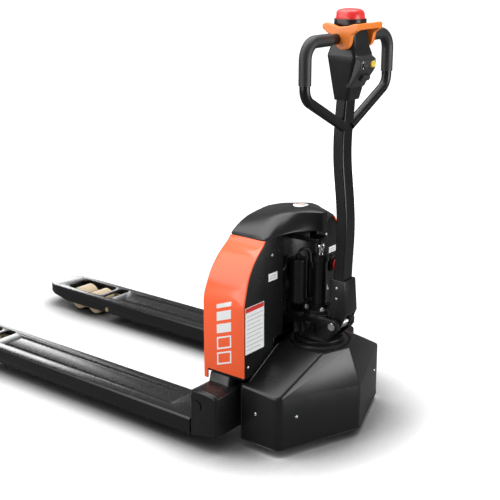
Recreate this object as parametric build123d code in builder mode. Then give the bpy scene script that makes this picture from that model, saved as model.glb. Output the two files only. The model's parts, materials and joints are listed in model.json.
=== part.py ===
"""Electric pallet truck, built as separate pieces in millimetres.

+Z is up and Z = 0 is the floor. The forks point to -X and the operator stands at +X.
The truck is symmetric about the XZ plane, and X = 0 is half its overall length.
Stations along X are given from the heel face, the plane where the fork tops end.
"""
import os
from math import asin, atan, cos, degrees, radians, sin, tan

from build123d import *

os.makedirs("parts", exist_ok=True)

# ---------------------------------------------------------------- driving dimensions
fork_length = 1204.0      # heel face to fork tip
tail_length = 331.0       # heel face to the prow of the skirt
fork_spread = 685.0       # over the outer sides of the forks
fork_width = 150.0
fork_top = 85.0
fork_bottom = 37.0
lift_height = 115.0

housing_half = 258.0      # half width of the battery housing
housing_front = -13.0
housing_rear = 121.0
housing_lean = 21.0       # how far the front slopes back between lean_z and the top
lean_z = 430.0
housing_floor = 200.0
housing_top = 575.0
skin = 4.0                # sheet and moulding thickness

axis_x = 190.0            # steering axis, from the heel face
wheel_radius = 105.0
wheel_width = 70.0
recess_radius = 105.0     # room round the lift cylinder inside the housing

tiller_x = 262.0          # tiller hinge, from the heel face
tiller_z = 325.0
handle_x = 264.0          # plane of the handle loop
grip_half = 193.0         # grip centre to the middle plane

# ---------------------------------------------------------------- fits and gaps
run_fit = 0.05            # radial clearance of a shaft that turns or slides
guide_fit = 0.10          # radial clearance of the lift guides
free_gap = 0.5            # between pieces that move past each other

# ---------------------------------------------------------------- worked-out stations
heel_x = (fork_length - tail_length) / 2
fork_mid = (fork_spread - fork_width) / 2
sides = ((-1, "left"), (1, "right"))


def st(offset):
    """X of a station given from the heel face."""
    return heel_x + offset


def save(builder, name):
    builder.part.label = name
    export_step(builder.part, f"parts/{name}.step")


def side_view(y=0.0):
    """Plane with local x = X and local y = Z, whose normal is -Y."""
    return Plane(origin=(0, y, 0), x_dir=(1, 0, 0), z_dir=(0, -1, 0))


def rear_view(x=0.0):
    """Plane with local x = Y and local y = Z, whose normal is +X."""
    return Plane(origin=(x, 0, 0), x_dir=(0, 1, 0), z_dir=(1, 0, 0))


def facet_plane(a, b, c):
    """Plane through three points, its normal pointing up."""
    u = Vector(*b) - Vector(*a)
    v = Vector(*c) - Vector(*a)
    n = u.cross(v).normalized()
    if n.Z < 0:
        n = n * -1
    return Plane(origin=a, z_dir=n)


# ================================================================ load wheels: stations
pivot_x, pivot_z = -870.0, 50.0
axle_x, axle_z = -1020.0, 40.0
roller_radius = axle_z
roller_width = 76.0
roller_offset = 43.0
arm_length = ((pivot_x - axle_x) ** 2 + (pivot_z - axle_z) ** 2) ** 0.5
arm_rest = asin((pivot_z - axle_z) / arm_length)
arm_full = asin((pivot_z - axle_z + lift_height) / arm_length)
arm_swing = arm_full - arm_rest
front_lever = 18.0
rod_stroke = 2 * front_lever * sin(arm_swing / 2)
rod_pin_x = pivot_x + front_lever * sin(arm_swing / 2)
rod_pin_z = pivot_z + front_lever * cos(arm_swing / 2)

cross_thick = 10.0        # upright plate between the heel blocks
shaft_radius = 15.0
shaft_x, shaft_z = cross_thick + 2 + shaft_radius, 130.0
rear_lever = 28.0
rocker_swing = 2 * asin(rod_stroke / 2 / rear_lever)
rod_end_x = shaft_x + rear_lever * sin(rocker_swing / 2)
rod_end_z = shaft_z - rear_lever * cos(rocker_swing / 2)
drive_arm = lift_height / 2 / tan(rocker_swing / 2)
base_pin_x = shaft_x + drive_arm
base_pin_z = shaft_z + lift_height / 2
lever_y = 135.0
lever_thick = 12.0

# ================================================================ forks
channel_wall = 5.0
channel_half = fork_width / 2 - channel_wall
channel_roof = 79.0
tip_radius = 62.0
big_cut = (-1107.0, -933.0)
small_cut = (-915.0, -876.0)
groove_span = (-826.0, -105.0)
groove_offset = 35.0
groove_width = 14.0
groove_depth = 3.0
arm_pin_radius = 8.0

for sign, side in sides:
    mid = sign * fork_mid
    with BuildPart() as fork:
        with BuildSketch(Plane.XY.offset(fork_bottom)) as plan:
            with BuildLine():
                inner = mid - fork_width / 2
                outer = mid + fork_width / 2
                tip = st(-fork_length)
                Polyline(
                    (st(0), inner), (tip, inner), (tip, outer), (st(0), outer), close=True
                )
            make_face()
            fillet(plan.vertices().sort_by(Axis.X)[:2], tip_radius)
        extrude(amount=fork_top - fork_bottom)
        top_edges = fork.faces().sort_by(Axis.Z)[-1].edges()
        fillet(top_edges.filter_by(lambda e: e.center().X < st(-1)), 6)
        with BuildSketch(side_view(mid + fork_width)):
            with BuildLine():
                Polyline(
                    (st(-fork_length) - 1, fork_bottom - 1),
                    (st(-fork_length) - 1, fork_bottom + 24),
                    (st(-fork_length + 130), fork_bottom - 1),
                    close=True,
                )
            make_face()
        extrude(amount=2 * fork_width, mode=Mode.SUBTRACT)
        with Locations((st(-1130), mid, fork_bottom)):
            Box(1130 + 1, 2 * channel_half, channel_roof - fork_bottom,
                align=(Align.MIN, Align.CENTER, Align.MIN), mode=Mode.SUBTRACT)
        for (start, end), half, corner in ((big_cut, 50, 22), (small_cut, 53, 12)):
            with BuildSketch(Plane.XY.offset(channel_roof - 1)):
                with Locations(((st(start) + st(end)) / 2, mid)):
                    RectangleRounded(end - start, 2 * half, corner)
            extrude(amount=20, mode=Mode.SUBTRACT)
        with BuildSketch(Plane.XY.offset(fork_top - groove_depth)):
            middle = (groove_span[0] + groove_span[1]) / 2
            with Locations(
                (st(middle), mid - groove_offset), (st(middle), mid + groove_offset)
            ):
                SlotOverall(groove_span[1] - groove_span[0], groove_width)
        extrude(amount=20, mode=Mode.SUBTRACT)
        with Locations((st(pivot_x), mid, pivot_z)):
            Cylinder(arm_pin_radius + run_fit, fork_width + 2, rotation=(90, 0, 0),
                     mode=Mode.SUBTRACT)
    save(fork, f"fork_{side}")

# ================================================================ heel blocks
heel_inner = 217.0
heel_length = 97.0
heel_start = 0.0
heel_top = 177.0
heel_wall = 8.0

for sign, side in sides:
    outer = fork_spread / 2
    with BuildPart() as heel:
        with BuildSketch(side_view(0)):
            with BuildLine():
                Polyline(
                    (st(heel_start), fork_bottom),
                    (st(heel_length), 54),
                    (st(heel_length), heel_top - 10),
                    (st(heel_length - 12), heel_top - 3),
                    (st(heel_length - 40), heel_top),
                    (st(heel_start + 16), heel_top),
                    (st(heel_start + 4), heel_top - 7),
                    (st(heel_start), heel_top - 20),
                    close=True,
                )
            make_face()
        extrude(amount=-(outer - heel_inner))
        rim = heel.edges().filter_by(lambda e: abs(e.center().Y - (outer - heel_inner)) < 0.1)
        chamfer(rim.filter_by(lambda e: e.center().Z > 80), 7)
        with BuildSketch(rear_view(st(heel_start + 10))):
            with BuildLine():
                Polyline(
                    (0, heel_top - 5),
                    (housing_half + 12 - heel_inner, heel_top - 5),
                    (housing_half + 4 - heel_inner, housing_floor),
                    (0, housing_floor),
                    close=True,
                )
            make_face()
        extrude(amount=heel_length - 30)
        with Locations((st(heel_start + heel_wall), heel_wall, 0)):
            Box(heel_length - 2 * heel_wall, outer - heel_inner - 2 * heel_wall, heel_top - 12,
                align=(Align.MIN, Align.MIN, Align.MIN), mode=Mode.SUBTRACT)
        with Locations((st(heel_start), fork_mid - heel_inner, 0)):
            Box(heel_wall + 1, 26, channel_roof,
                align=(Align.MIN, Align.CENTER, Align.MIN), mode=Mode.SUBTRACT)
        with Locations((st(shaft_x), (outer - heel_inner) / 2, shaft_z)):
            Cylinder(shaft_radius + run_fit, 300, rotation=(90, 0, 0), mode=Mode.SUBTRACT)
    placed = Pos(0, heel_inner, 0) * heel.part
    if sign < 0:
        placed = mirror(placed, about=Plane.XZ)
    with BuildPart() as heel_placed:
        add(placed)
    save(heel_placed, f"heel_{side}")

# ================================================================ cross plate
with BuildPart() as cross_plate:
    with Locations((st(0), 0, 45)):
        Box(cross_thick, 2 * heel_inner, 170, align=(Align.MIN, Align.CENTER, Align.MIN))
    with Locations((st(cross_thick), 0, 55)):
        Box(12, 2 * heel_inner, 8, align=(Align.MIN, Align.CENTER, Align.MIN))
    fillet(cross_plate.edges().filter_by(Axis.Y).group_by(Axis.Z)[-1], 2)
save(cross_plate, "cross_plate")

# ================================================================ arms, bogies, rollers
arm_plate = (54.0, 62.0)
bogie_plate = (42.0, 50.0)
lever_plate = (8.0, 14.0)
rod_half = 6.0
stub_radius = 8.0
roller_pin = 7.0
rod_pin_radius = 4.0
slot_play = 0.5

for sign, side in sides:
    mid = sign * fork_mid
    with BuildPart() as arm:
        for lateral in (-1, 1):
            centre = mid + lateral * (arm_plate[0] + arm_plate[1]) / 2
            thick = arm_plate[1] - arm_plate[0]
            with BuildSketch(side_view(centre + thick / 2)):
                with Locations((st(pivot_x), pivot_z)):
                    Circle(14)
                with Locations((st(axle_x), axle_z)):
                    Circle(13)
                make_hull()
            extrude(amount=thick)
            centre = mid + lateral * (lever_plate[0] + lever_plate[1]) / 2
            thick = lever_plate[1] - lever_plate[0]
            with BuildSketch(side_view(centre + thick / 2)):
                with Locations((st(pivot_x), pivot_z)):
                    Circle(12)
                with Locations((st(rod_pin_x), rod_pin_z)):
                    Circle(7)
                make_hull()
            extrude(amount=thick)
            stub_start = bogie_plate[0] + 0.5
            with Locations((st(axle_x), mid + lateral * stub_start, axle_z)):
                Cylinder(stub_radius, arm_plate[1] - stub_start,
                         rotation=(-90 * lateral, 0, 0),
                         align=(Align.CENTER, Align.CENTER, Align.MIN))
        with Locations((st(pivot_x), mid, pivot_z)):
            Cylinder(arm_pin_radius, fork_width + 3, rotation=(90, 0, 0))
        with Locations((st(rod_pin_x), mid, rod_pin_z)):
            Cylinder(rod_pin_radius, 2 * lever_plate[1], rotation=(90, 0, 0))
    save(arm, f"arm_{side}")

    with BuildPart() as bogie:
        for lateral in (-1, 1):
            centre = mid + lateral * (bogie_plate[0] + bogie_plate[1]) / 2
            thick = bogie_plate[1] - bogie_plate[0]
            with BuildSketch(side_view(centre + thick / 2)):
                with Locations(
                    (st(axle_x - roller_offset), axle_z), (st(axle_x + roller_offset), axle_z)
                ):
                    Circle(14)
                with Locations((st(axle_x), axle_z)):
                    Circle(17)
                make_hull()
                with Locations((st(axle_x), axle_z)):
                    Circle(stub_radius + run_fit, mode=Mode.SUBTRACT)
            extrude(amount=thick)
        for offset in (-roller_offset, roller_offset):
            with Locations((st(axle_x + offset), mid, axle_z)):
                Cylinder(roller_pin, 2 * bogie_plate[1] + 2, rotation=(90, 0, 0))
    save(bogie, f"bogie_{side}")

    for offset, end in ((-roller_offset, "front"), (roller_offset, "rear")):
        with BuildPart() as roller:
            with Locations((st(axle_x + offset), mid, axle_z)):
                Cylinder(roller_radius, roller_width, rotation=(90, 0, 0))
            rims = roller.edges().filter_by(GeomType.CIRCLE)
            chamfer(rims, 4)
            with Locations((st(axle_x + offset), mid, axle_z)):
                Cylinder(roller_pin + run_fit, roller_width + 2, rotation=(90, 0, 0),
                         mode=Mode.SUBTRACT)
            for lateral in (-1, 1):
                with Locations((st(axle_x + offset), mid + lateral * roller_width / 2, axle_z)):
                    Cylinder(24, 8, rotation=(90, 0, 0), mode=Mode.SUBTRACT)
                    Cylinder(14, 8, rotation=(90, 0, 0))
            with Locations((st(axle_x + offset), mid, axle_z)):
                Cylinder(roller_pin + run_fit, roller_width + 12, rotation=(90, 0, 0),
                         mode=Mode.SUBTRACT)
            for lateral in (-1, 1):
                with Locations((st(axle_x + offset), mid + lateral * (roller_width / 2 + 5), axle_z)):
                    Cylinder(20, 10, rotation=(90, 0, 0), mode=Mode.SUBTRACT)
        save(roller, f"roller_{side}_{end}")

    with BuildPart() as push_rod:
        low = rod_pin_z - rod_pin_radius - slot_play
        high = pivot_z + front_lever + rod_pin_radius + slot_play
        with BuildSketch(side_view(mid + rod_half)):
            with BuildLine():
                Polyline(
                    (st(rod_pin_x - 11), low - 2.5),
                    (st(rod_pin_x + 12), low - 2.5),
                    (st(rod_pin_x + 30), 60),
                    (st(rod_end_x + 12), 60),
                    (st(rod_end_x + 12), rod_end_z + 10),
                    (st(rod_end_x - 10), rod_end_z + 10),
                    (st(rod_end_x - 10), 74),
                    (st(rod_pin_x + 20), 74),
                    (st(rod_pin_x + 12), high + 2.5),
                    (st(rod_pin_x - 11), high + 2.5),
                    close=True,
                )
            make_face()
            with Locations((st(rod_pin_x), (low + high) / 2)):
                Rectangle(2 * (rod_pin_radius + slot_play), high - low, mode=Mode.SUBTRACT)
            rear_low = shaft_z - rear_lever - rod_pin_radius - slot_play
            rear_high = rod_end_z + rod_pin_radius + slot_play
            with Locations((st(rod_end_x), (rear_low + rear_high) / 2)):
                Rectangle(2 * (rod_pin_radius + slot_play), rear_high - rear_low,
                          mode=Mode.SUBTRACT)
        extrude(amount=2 * rod_half)
    save(push_rod, f"push_rod_{side}")

# ================================================================ rocker shaft
pin_reach = 7.0
lever_angle = degrees(atan(lift_height / 2 / drive_arm))
with BuildPart() as rocker_shaft:
    with Locations((st(shaft_x), 0, shaft_z)):
        Cylinder(shaft_radius, fork_spread + 5, rotation=(90, 0, 0))
    for sign, side in sides:
        for lateral in (-1, 1):
            centre = sign * fork_mid + lateral * (lever_plate[0] + lever_plate[1]) / 2
            thick = lever_plate[1] - lever_plate[0]
            with BuildSketch(side_view(centre + thick / 2)):
                with Locations((st(shaft_x), shaft_z)):
                    Circle(shaft_radius + 2)
                with Locations((st(rod_end_x), rod_end_z)):
                    Circle(7)
                make_hull()
            extrude(amount=thick)
        with Locations((st(rod_end_x), sign * fork_mid, rod_end_z)):
            Cylinder(rod_pin_radius, 2 * lever_plate[1], rotation=(90, 0, 0))
        with BuildSketch(side_view(sign * lever_y + lever_thick / 2)):
            with Locations((st(shaft_x), shaft_z)):
                Circle(shaft_radius + 1.5)
            with Locations((st(base_pin_x), base_pin_z)):
                Circle(15)
            make_hull()
            with Locations(Location((st(base_pin_x) - 2, base_pin_z, 0), lever_angle)):
                SlotOverall(2 * (pin_reach + 1.2) + 12, 2 * (pin_reach + 1.2),
                            mode=Mode.SUBTRACT)
        extrude(amount=lever_thick)
save(rocker_shaft, "rocker_shaft")

# ================================================================ housing
arch = [
    (housing_half, 400), (housing_half - 7, 437), (housing_half - 17, 474),
    (housing_half - 36, 511), (housing_half - 61, 540), (housing_half - 86, 563),
    (housing_half - 95, housing_top),
]
rear_gap_half = 122.0
rear_gap_top = 282.0


def arch_lines(shrink, floor, top):
    """Closed arch outline in (Y, Z), drawn inside the active line builder."""
    right = [(y - shrink, z) for y, z in arch]
    right[-1] = (right[-1][0], top)
    left = [(-y, z) for y, z in right]
    Line((-right[0][0], floor), (right[0][0], floor))
    Line((right[0][0], floor), right[0])
    Spline(*right, tangents=((0, 1), (-0.6, 0.8)))
    Line(right[-1], left[-1])
    Spline(*left, tangents=((0, 1), (0.6, 0.8)))
    Line(left[0], (left[0][0], floor))


def lean_plane(inset):
    """Plane of the sloping front, its normal pointing forwards and up."""
    rise = housing_top - lean_z
    return Plane(
        origin=(st(housing_front) + inset, 0, lean_z), z_dir=(-rise, 0, housing_lean)
    )


def arch_block(shrink, floor, top, start, end, inset):
    """Arched block between two stations, its front cut along the slope."""
    with BuildPart() as block:
        with BuildSketch(rear_view(st(start))):
            with BuildLine():
                arch_lines(shrink, floor, top)
            make_face()
        extrude(amount=end - start)
        split(bisect_by=lean_plane(inset), keep=Keep.BOTTOM)
    return block.part


housing_outside = arch_block(0, housing_floor, housing_top, housing_front, housing_rear, 0)
housing_inside = arch_block(
    skin, housing_floor - 1, housing_top - skin, housing_front + skin, housing_rear - skin, skin
)
with BuildPart() as housing:
    add(housing_outside)
    add(housing_inside, mode=Mode.SUBTRACT)
    with Locations((st(housing_front), 0, housing_floor)):
        Box(-housing_front, 2 * (housing_half - skin - 1), skin,
            align=(Align.MIN, Align.CENTER, Align.MIN))
    with Locations((st(axis_x), 0, rear_gap_top)):
        Cylinder(recess_radius + skin, housing_top - rear_gap_top,
                 align=(Align.CENTER, Align.CENTER, Align.MIN))
        Cylinder(recess_radius, housing_top - rear_gap_top + 1,
                 align=(Align.CENTER, Align.CENTER, Align.MIN), mode=Mode.SUBTRACT)
    with Locations((st(housing_rear), 0, 0)):
        Box(200, 700, 700, align=(Align.MIN, Align.CENTER, Align.MIN), mode=Mode.SUBTRACT)
    with Locations((st(housing_rear), 0, 0)):
        Box(3 * skin, 2 * rear_gap_half, rear_gap_top, align=(Align.MAX, Align.CENTER, Align.MIN),
            mode=Mode.SUBTRACT)
save(housing, "housing")

# ================================================================ side strips
strip_floor = 208.0
strip_dip = 179.0
return_depth = 2.0
strip_rear = housing_rear + skin

strip_outside = arch_block(-skin, strip_dip, housing_top, housing_front, strip_rear, 0)
strip_inside = arch_block(
    0, strip_dip - 1, housing_top + 1, housing_front - 1, housing_rear, -50
)
strip_window = arch_block(
    return_depth, strip_dip - 1, housing_top + 1, housing_rear - 1, strip_rear + 1, -50
)
for sign, side in sides:
    with BuildPart() as strip:
        add(strip_outside)
        add(strip_inside, mode=Mode.SUBTRACT)
        add(strip_window, mode=Mode.SUBTRACT)
        with Locations((st(0), 0, 0)):
            Box(300, 900, strip_floor, align=(Align.MIN, Align.CENTER, Align.MIN),
                mode=Mode.SUBTRACT)
        with Locations((0, 0, 0)):
            Box(2000, 450, 2000, align=(Align.CENTER, Align.MAX if sign > 0 else Align.MIN,
                                        Align.CENTER), mode=Mode.SUBTRACT)
        with Locations((0, 0, housing_top - 3)):
            Box(2000, 900, 50, align=(Align.CENTER, Align.CENTER, Align.MIN), mode=Mode.SUBTRACT)
    save(strip, f"strip_{side}")

# ================================================================ cap
cap_half = 168.0
cap_front = 5.0
cap_floor = housing_top + 0.3
front_crest = 619.0       # height of the cap at its front
rear_crest = 641.0        # and where its top is highest
rear_crest_x = 115.0
nose_x = 206.0
nose_crest = 631.0
waist_x, waist_y = 152.0, 88.0      # where the sides of the prow draw in
brow_x, brow_y, brow_z = 95.0, 82.0, 624.5   # crease between the top and the prow


def cap_arch(half, low, high):
    """Closed arched outline in (Y, Z), drawn inside the active line builder."""
    rise = high - low
    right = [(0.86, 0.38), (0.66, 0.68), (0.36, 0.9)]
    points = [(half, low)] + [(half * y, low + rise * z) for y, z in right] + [(0, high)]
    points += [(-y, z) for y, z in reversed(points[:-1])]
    Line((-half, low), (half, low))
    Spline(*points)


def cap_solid(shrink, low):
    """Cap without its hollow; shrink makes it smaller all round but for its floor."""
    half = cap_half - shrink
    with BuildPart() as body:
        for x, width, crest in (
            (cap_front + shrink, half - 5, front_crest),
            (rear_crest_x, half, rear_crest),
            (nose_x, half, nose_crest),
        ):
            with BuildSketch(rear_view(st(x))):
                with BuildLine():
                    cap_arch(width, low, crest - shrink)
                make_face()
        loft(ruled=True)
        with BuildSketch(Plane.XY.offset(low - 1)) as outline:
            with BuildLine():
                Polyline(
                    (st(cap_front) - 1, -half - 1),
                    (st(housing_rear), -half - 1),
                    (st(waist_x - shrink), -waist_y),
                    (st(nose_x - 1.4 * shrink), 0),
                    (st(waist_x - shrink), waist_y),
                    (st(housing_rear), half + 1),
                    (st(cap_front) - 1, half + 1),
                    close=True,
                )
            make_face()
            fillet(outline.vertices().filter_by(lambda v: v.X > st(waist_x + 1)), 14)
        extrude(amount=200, mode=Mode.INTERSECT)
        for sign in (-1, 1):
            prow = facet_plane(
                (st(brow_x), sign * brow_y, brow_z),
                (st(nose_x), 0, nose_crest),
                (st(housing_rear), sign * cap_half, housing_top),
            ).offset(-shrink)
            split(bisect_by=prow, keep=Keep.BOTTOM)
    return body.part


cap_inside = cap_solid(skin, cap_floor - 1)
with BuildPart() as cap:
    add(cap_solid(0, cap_floor))
    add(cap_inside, mode=Mode.SUBTRACT)
save(cap, "cap")

# ================================================================ inside the housing
tray_floor = 290.0
tray_thick = 6.0
post_x = housing_rear - 25
post_y = 105.0
post_radius = 12.0
post_top = 470.0
bush_radius = 19.0

with BuildPart() as battery_tray:
    with Locations((st(housing_front + skin), 0, tray_floor)):
        Box(post_x - 3, 2 * (housing_half - skin), tray_thick, align=(Align.MIN, Align.CENTER, Align.MIN))
    for sign, side in sides:
        with Locations((st(post_x), sign * post_y, tray_floor)):
            Box(2 * bush_radius + 2, 46, tray_thick, align=(Align.CENTER, Align.CENTER, Align.MIN))
            Cylinder(bush_radius, 50, mode=Mode.SUBTRACT)
    with Locations((st(axis_x), 0, tray_floor)):
        Cylinder(recess_radius + skin, 50, mode=Mode.SUBTRACT)
save(battery_tray, "battery_tray")

with BuildPart() as guide_bushes:
    with Locations([(st(post_x), s * post_y, tray_floor - 12) for s in (-1, 1)]):
        Cylinder(bush_radius, 44, align=(Align.CENTER, Align.CENTER, Align.MIN))
        Cylinder(post_radius + guide_fit, 200, mode=Mode.SUBTRACT)
save(guide_bushes, "guide_bushes")

battery_floor = tray_floor + tray_thick
battery_front = housing_front + housing_lean
battery_deep = post_x - bush_radius - 3 - battery_front
battery_tall = 238.0
with BuildPart() as battery:
    with Locations((st(battery_front), 0, battery_floor)):
        Box(battery_deep, 236, battery_tall, align=(Align.MIN, Align.CENTER, Align.MIN))
    fillet(battery.edges().filter_by(Axis.Z), 6)
    with Locations((st(battery_front + battery_deep / 2), 0, battery_floor + battery_tall)):
        Box(24, 120, 22, align=(Align.CENTER, Align.CENTER, Align.MIN))
        with Locations((0, 0, -1)):
            Box(30, 92, 16, align=(Align.CENTER, Align.CENTER, Align.MIN), mode=Mode.SUBTRACT)
save(battery, "battery")

with BuildPart() as controller:
    with Locations((st(housing_front + skin + 4), 190, battery_floor)):
        Box(74, 104, 130, align=(Align.MIN, Align.CENTER, Align.MIN))
        with Locations([(74, y, 12) for y in (-40, -24, -8, 8, 24, 40)]):
            Box(14, 5, 106, align=(Align.MIN, Align.CENTER, Align.MIN))
save(controller, "controller")

# ================================================================ lift bracket
ball_radius = 12.0
ball_z = 534.0
bracket_floor = ball_z + ball_radius + free_gap
with BuildPart() as lift_bracket:
    with Locations((st(axis_x - recess_radius + 2), 0, bracket_floor)):
        Box(recess_radius + 10, 50, 12, align=(Align.MIN, Align.CENTER, Align.MIN))
        for y in (-20, 20):
            with Locations((0, y, 12)):
                Box(80, 6, 14, align=(Align.MIN, Align.CENTER, Align.MIN))
    with Locations((st(axis_x - recess_radius), 0, bracket_floor - 6)):
        Box(6, 60, 30, align=(Align.MIN, Align.CENTER, Align.MIN))
    fillet(lift_bracket.edges().filter_by(Axis.Z).group_by(Axis.X)[-1], 8)
    with Locations((st(axis_x), 0, bracket_floor)):
        Cylinder(recess_radius, 200, mode=Mode.INTERSECT)
save(lift_bracket, "lift_bracket")

# ================================================================ emergency switch
estop_y, estop_z = 158.0, 431.0
estop_base_height = 14.0
estop_travel = 5.0
with BuildPart() as estop_base:
    with Locations(Plane(origin=(st(housing_rear), estop_y, estop_z), z_dir=(1, 0, 0))):
        Cylinder(24, estop_base_height, align=(Align.CENTER, Align.CENTER, Align.MIN))
        Cylinder(7 + run_fit, 60, mode=Mode.SUBTRACT)
save(estop_base, "estop_base")

with BuildPart() as estop_button:
    with Locations(Plane(origin=(st(housing_rear), estop_y, estop_z), z_dir=(1, 0, 0))):
        with Locations((0, 0, estop_travel + 1)):
            Cylinder(7, estop_base_height + 2, align=(Align.CENTER, Align.CENTER, Align.MIN))
        with Locations((0, 0, estop_base_height + estop_travel + 1)):
            Cone(20, 16, 10, align=(Align.CENTER, Align.CENTER, Align.MIN))
    fillet(estop_button.faces().sort_by(Axis.X)[-1].edges(), 3)
save(estop_button, "estop_button")

# ================================================================ base plate and ring
plate_floor, plate_top = 228.0, 238.0
neck_radius = 57.9
ring_bore = neck_radius + guide_fit
ring_outer = 95.0
skirt_top = 262.0

with BuildPart() as base_plate:
    with BuildSketch(Plane.XY.offset(plate_floor)):
        with Locations((st(161), 0)):
            RectangleRounded(158, 236, 14)
        with Locations((st(axis_x), 0)):
            Circle(neck_radius + 3, mode=Mode.SUBTRACT)
    extrude(amount=plate_top - plate_floor)
    for sign, side in sides:
        with Locations((st(base_pin_x), sign * 114, base_pin_z - 14)):
            Box(30, 8, plate_floor - base_pin_z + 14,
                align=(Align.CENTER, Align.CENTER, Align.MIN))
        with Locations((st(base_pin_x), sign * 110, base_pin_z)):
            Cylinder(pin_reach, 50, rotation=(-90 * sign, 0, 0),
                     align=(Align.CENTER, Align.CENTER, Align.MIN))
save(base_plate, "base_plate")

with BuildPart() as guide_posts:
    with Locations([(st(post_x), s * post_y, plate_top) for s in (-1, 1)]):
        Cylinder(post_radius, post_top - plate_top,
                 align=(Align.CENTER, Align.CENTER, Align.MIN))
    chamfer(guide_posts.edges().group_by(Axis.Z)[-1], 2)
save(guide_posts, "guide_posts")

with BuildPart() as slewing_ring:
    with Locations((st(axis_x), 0, plate_top)):
        Cylinder(ring_outer, skirt_top - skin - plate_top,
                 align=(Align.CENTER, Align.CENTER, Align.MIN))
        Cylinder(82, 26, align=(Align.CENTER, Align.CENTER, Align.MIN))
        Cylinder(ring_bore, 200, mode=Mode.SUBTRACT)
    chamfer(slewing_ring.edges().group_by(Axis.Z)[-1], 1)
save(slewing_ring, "slewing_ring")

# ================================================================ drive skirt
skirt_floor = 22.0
skirt_front = 110.0
shoulder_x = 236.0
shoulder_y = 254.0
corner_round = 30.0
skirt_hole = 84.0
side_drop = (183.0, 174.0, 158.0)   # top of the upright band: front, shoulder, prow
shoulder_centre = (shoulder_x - 0.66 * corner_round, shoulder_y - corner_round)
prow_centre = (tail_length - corner_round, 0.0)


def skirt_solid(inset):
    """Faceted block; inset shrinks it evenly on the outside and the top."""
    front, shoulder, prow = side_drop
    with BuildPart() as block:
        with BuildSketch(Plane.XY.offset(skirt_floor - inset)):
            with Locations((st(skirt_front) + 1, 0)):
                Rectangle(2, 2 * (shoulder_y - inset))
            for sign in (-1, 1):
                with Locations((st(shoulder_centre[0]), sign * shoulder_centre[1])):
                    Circle(corner_round - inset)
            with Locations((st(prow_centre[0]), 0)):
                Circle(corner_round - inset)
            make_hull()
        extrude(amount=skirt_top - skirt_floor)
        for sign in (-1, 1):
            flank = facet_plane(
                (st(skirt_front), sign * shoulder_y, front),
                (st(shoulder_x), sign * shoulder_y, shoulder),
                (st(axis_x), sign * 98, skirt_top),
            ).offset(-inset)
            split(bisect_by=flank, keep=Keep.BOTTOM)
            bow = facet_plane(
                (st(shoulder_x), sign * shoulder_y, shoulder),
                (st(tail_length), 0, prow),
                (st(axis_x) + 98 * 0.92, sign * 98 * 0.39, skirt_top),
            ).offset(-inset)
            split(bisect_by=bow, keep=Keep.BOTTOM)
    return block.part


skirt_outside = skirt_solid(0)
skirt_inside = skirt_solid(skin)
with BuildPart() as skirt:
    add(skirt_outside)
    add(skirt_inside, mode=Mode.SUBTRACT)
    with Locations((st(axis_x), 0, skirt_top)):
        Cylinder(skirt_hole, 60, mode=Mode.SUBTRACT)
    with Locations((st(skirt_front - 5), 0, 188)):
        Box(strip_rear + free_gap - skirt_front + 5, 600, 200,
            align=(Align.MIN, Align.CENTER, Align.MIN), mode=Mode.SUBTRACT)
save(skirt, "skirt")

# ================================================================ skirt screws
screw_radius = 5.0
screw_z = 112.0
bow_run = Vector(*prow_centre) - Vector(*shoulder_centre)
bow_normal = Vector(-bow_run.Y, bow_run.X).normalized()

with BuildPart() as skirt_screws:
    for sign in (-1, 1):
        bow_spot = Vector(*shoulder_centre) + bow_run * 0.16 + bow_normal * corner_round
        for spot, normal in ((Vector(161, shoulder_y), Vector(0, 1)), (bow_spot, bow_normal)):
            head = Plane(
                origin=(st(spot.X), sign * spot.Y, screw_z), z_dir=(normal.X, sign * normal.Y, 0)
            )
            with Locations(head):
                Cylinder(screw_radius, 2.6, align=(Align.CENTER, Align.CENTER, Align.MIN))
            with BuildSketch(head.offset(1.2)):
                RegularPolygon(2.2, 6)
            extrude(amount=5, mode=Mode.SUBTRACT)
save(skirt_screws, "skirt_screws")

# ================================================================ neck and turntable
disc_radius = 70.0
disc_floor, disc_top = 264.5, 275.0
flange_floor, flange_top = 335.0, 347.0
cheek = (32.0, 44.0)
journal_floor = 226.0
tiller_pin_radius = 8.0
shelf_top = 373.0           # shelf over the cylinder bolts, under the tank and the motor

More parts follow.
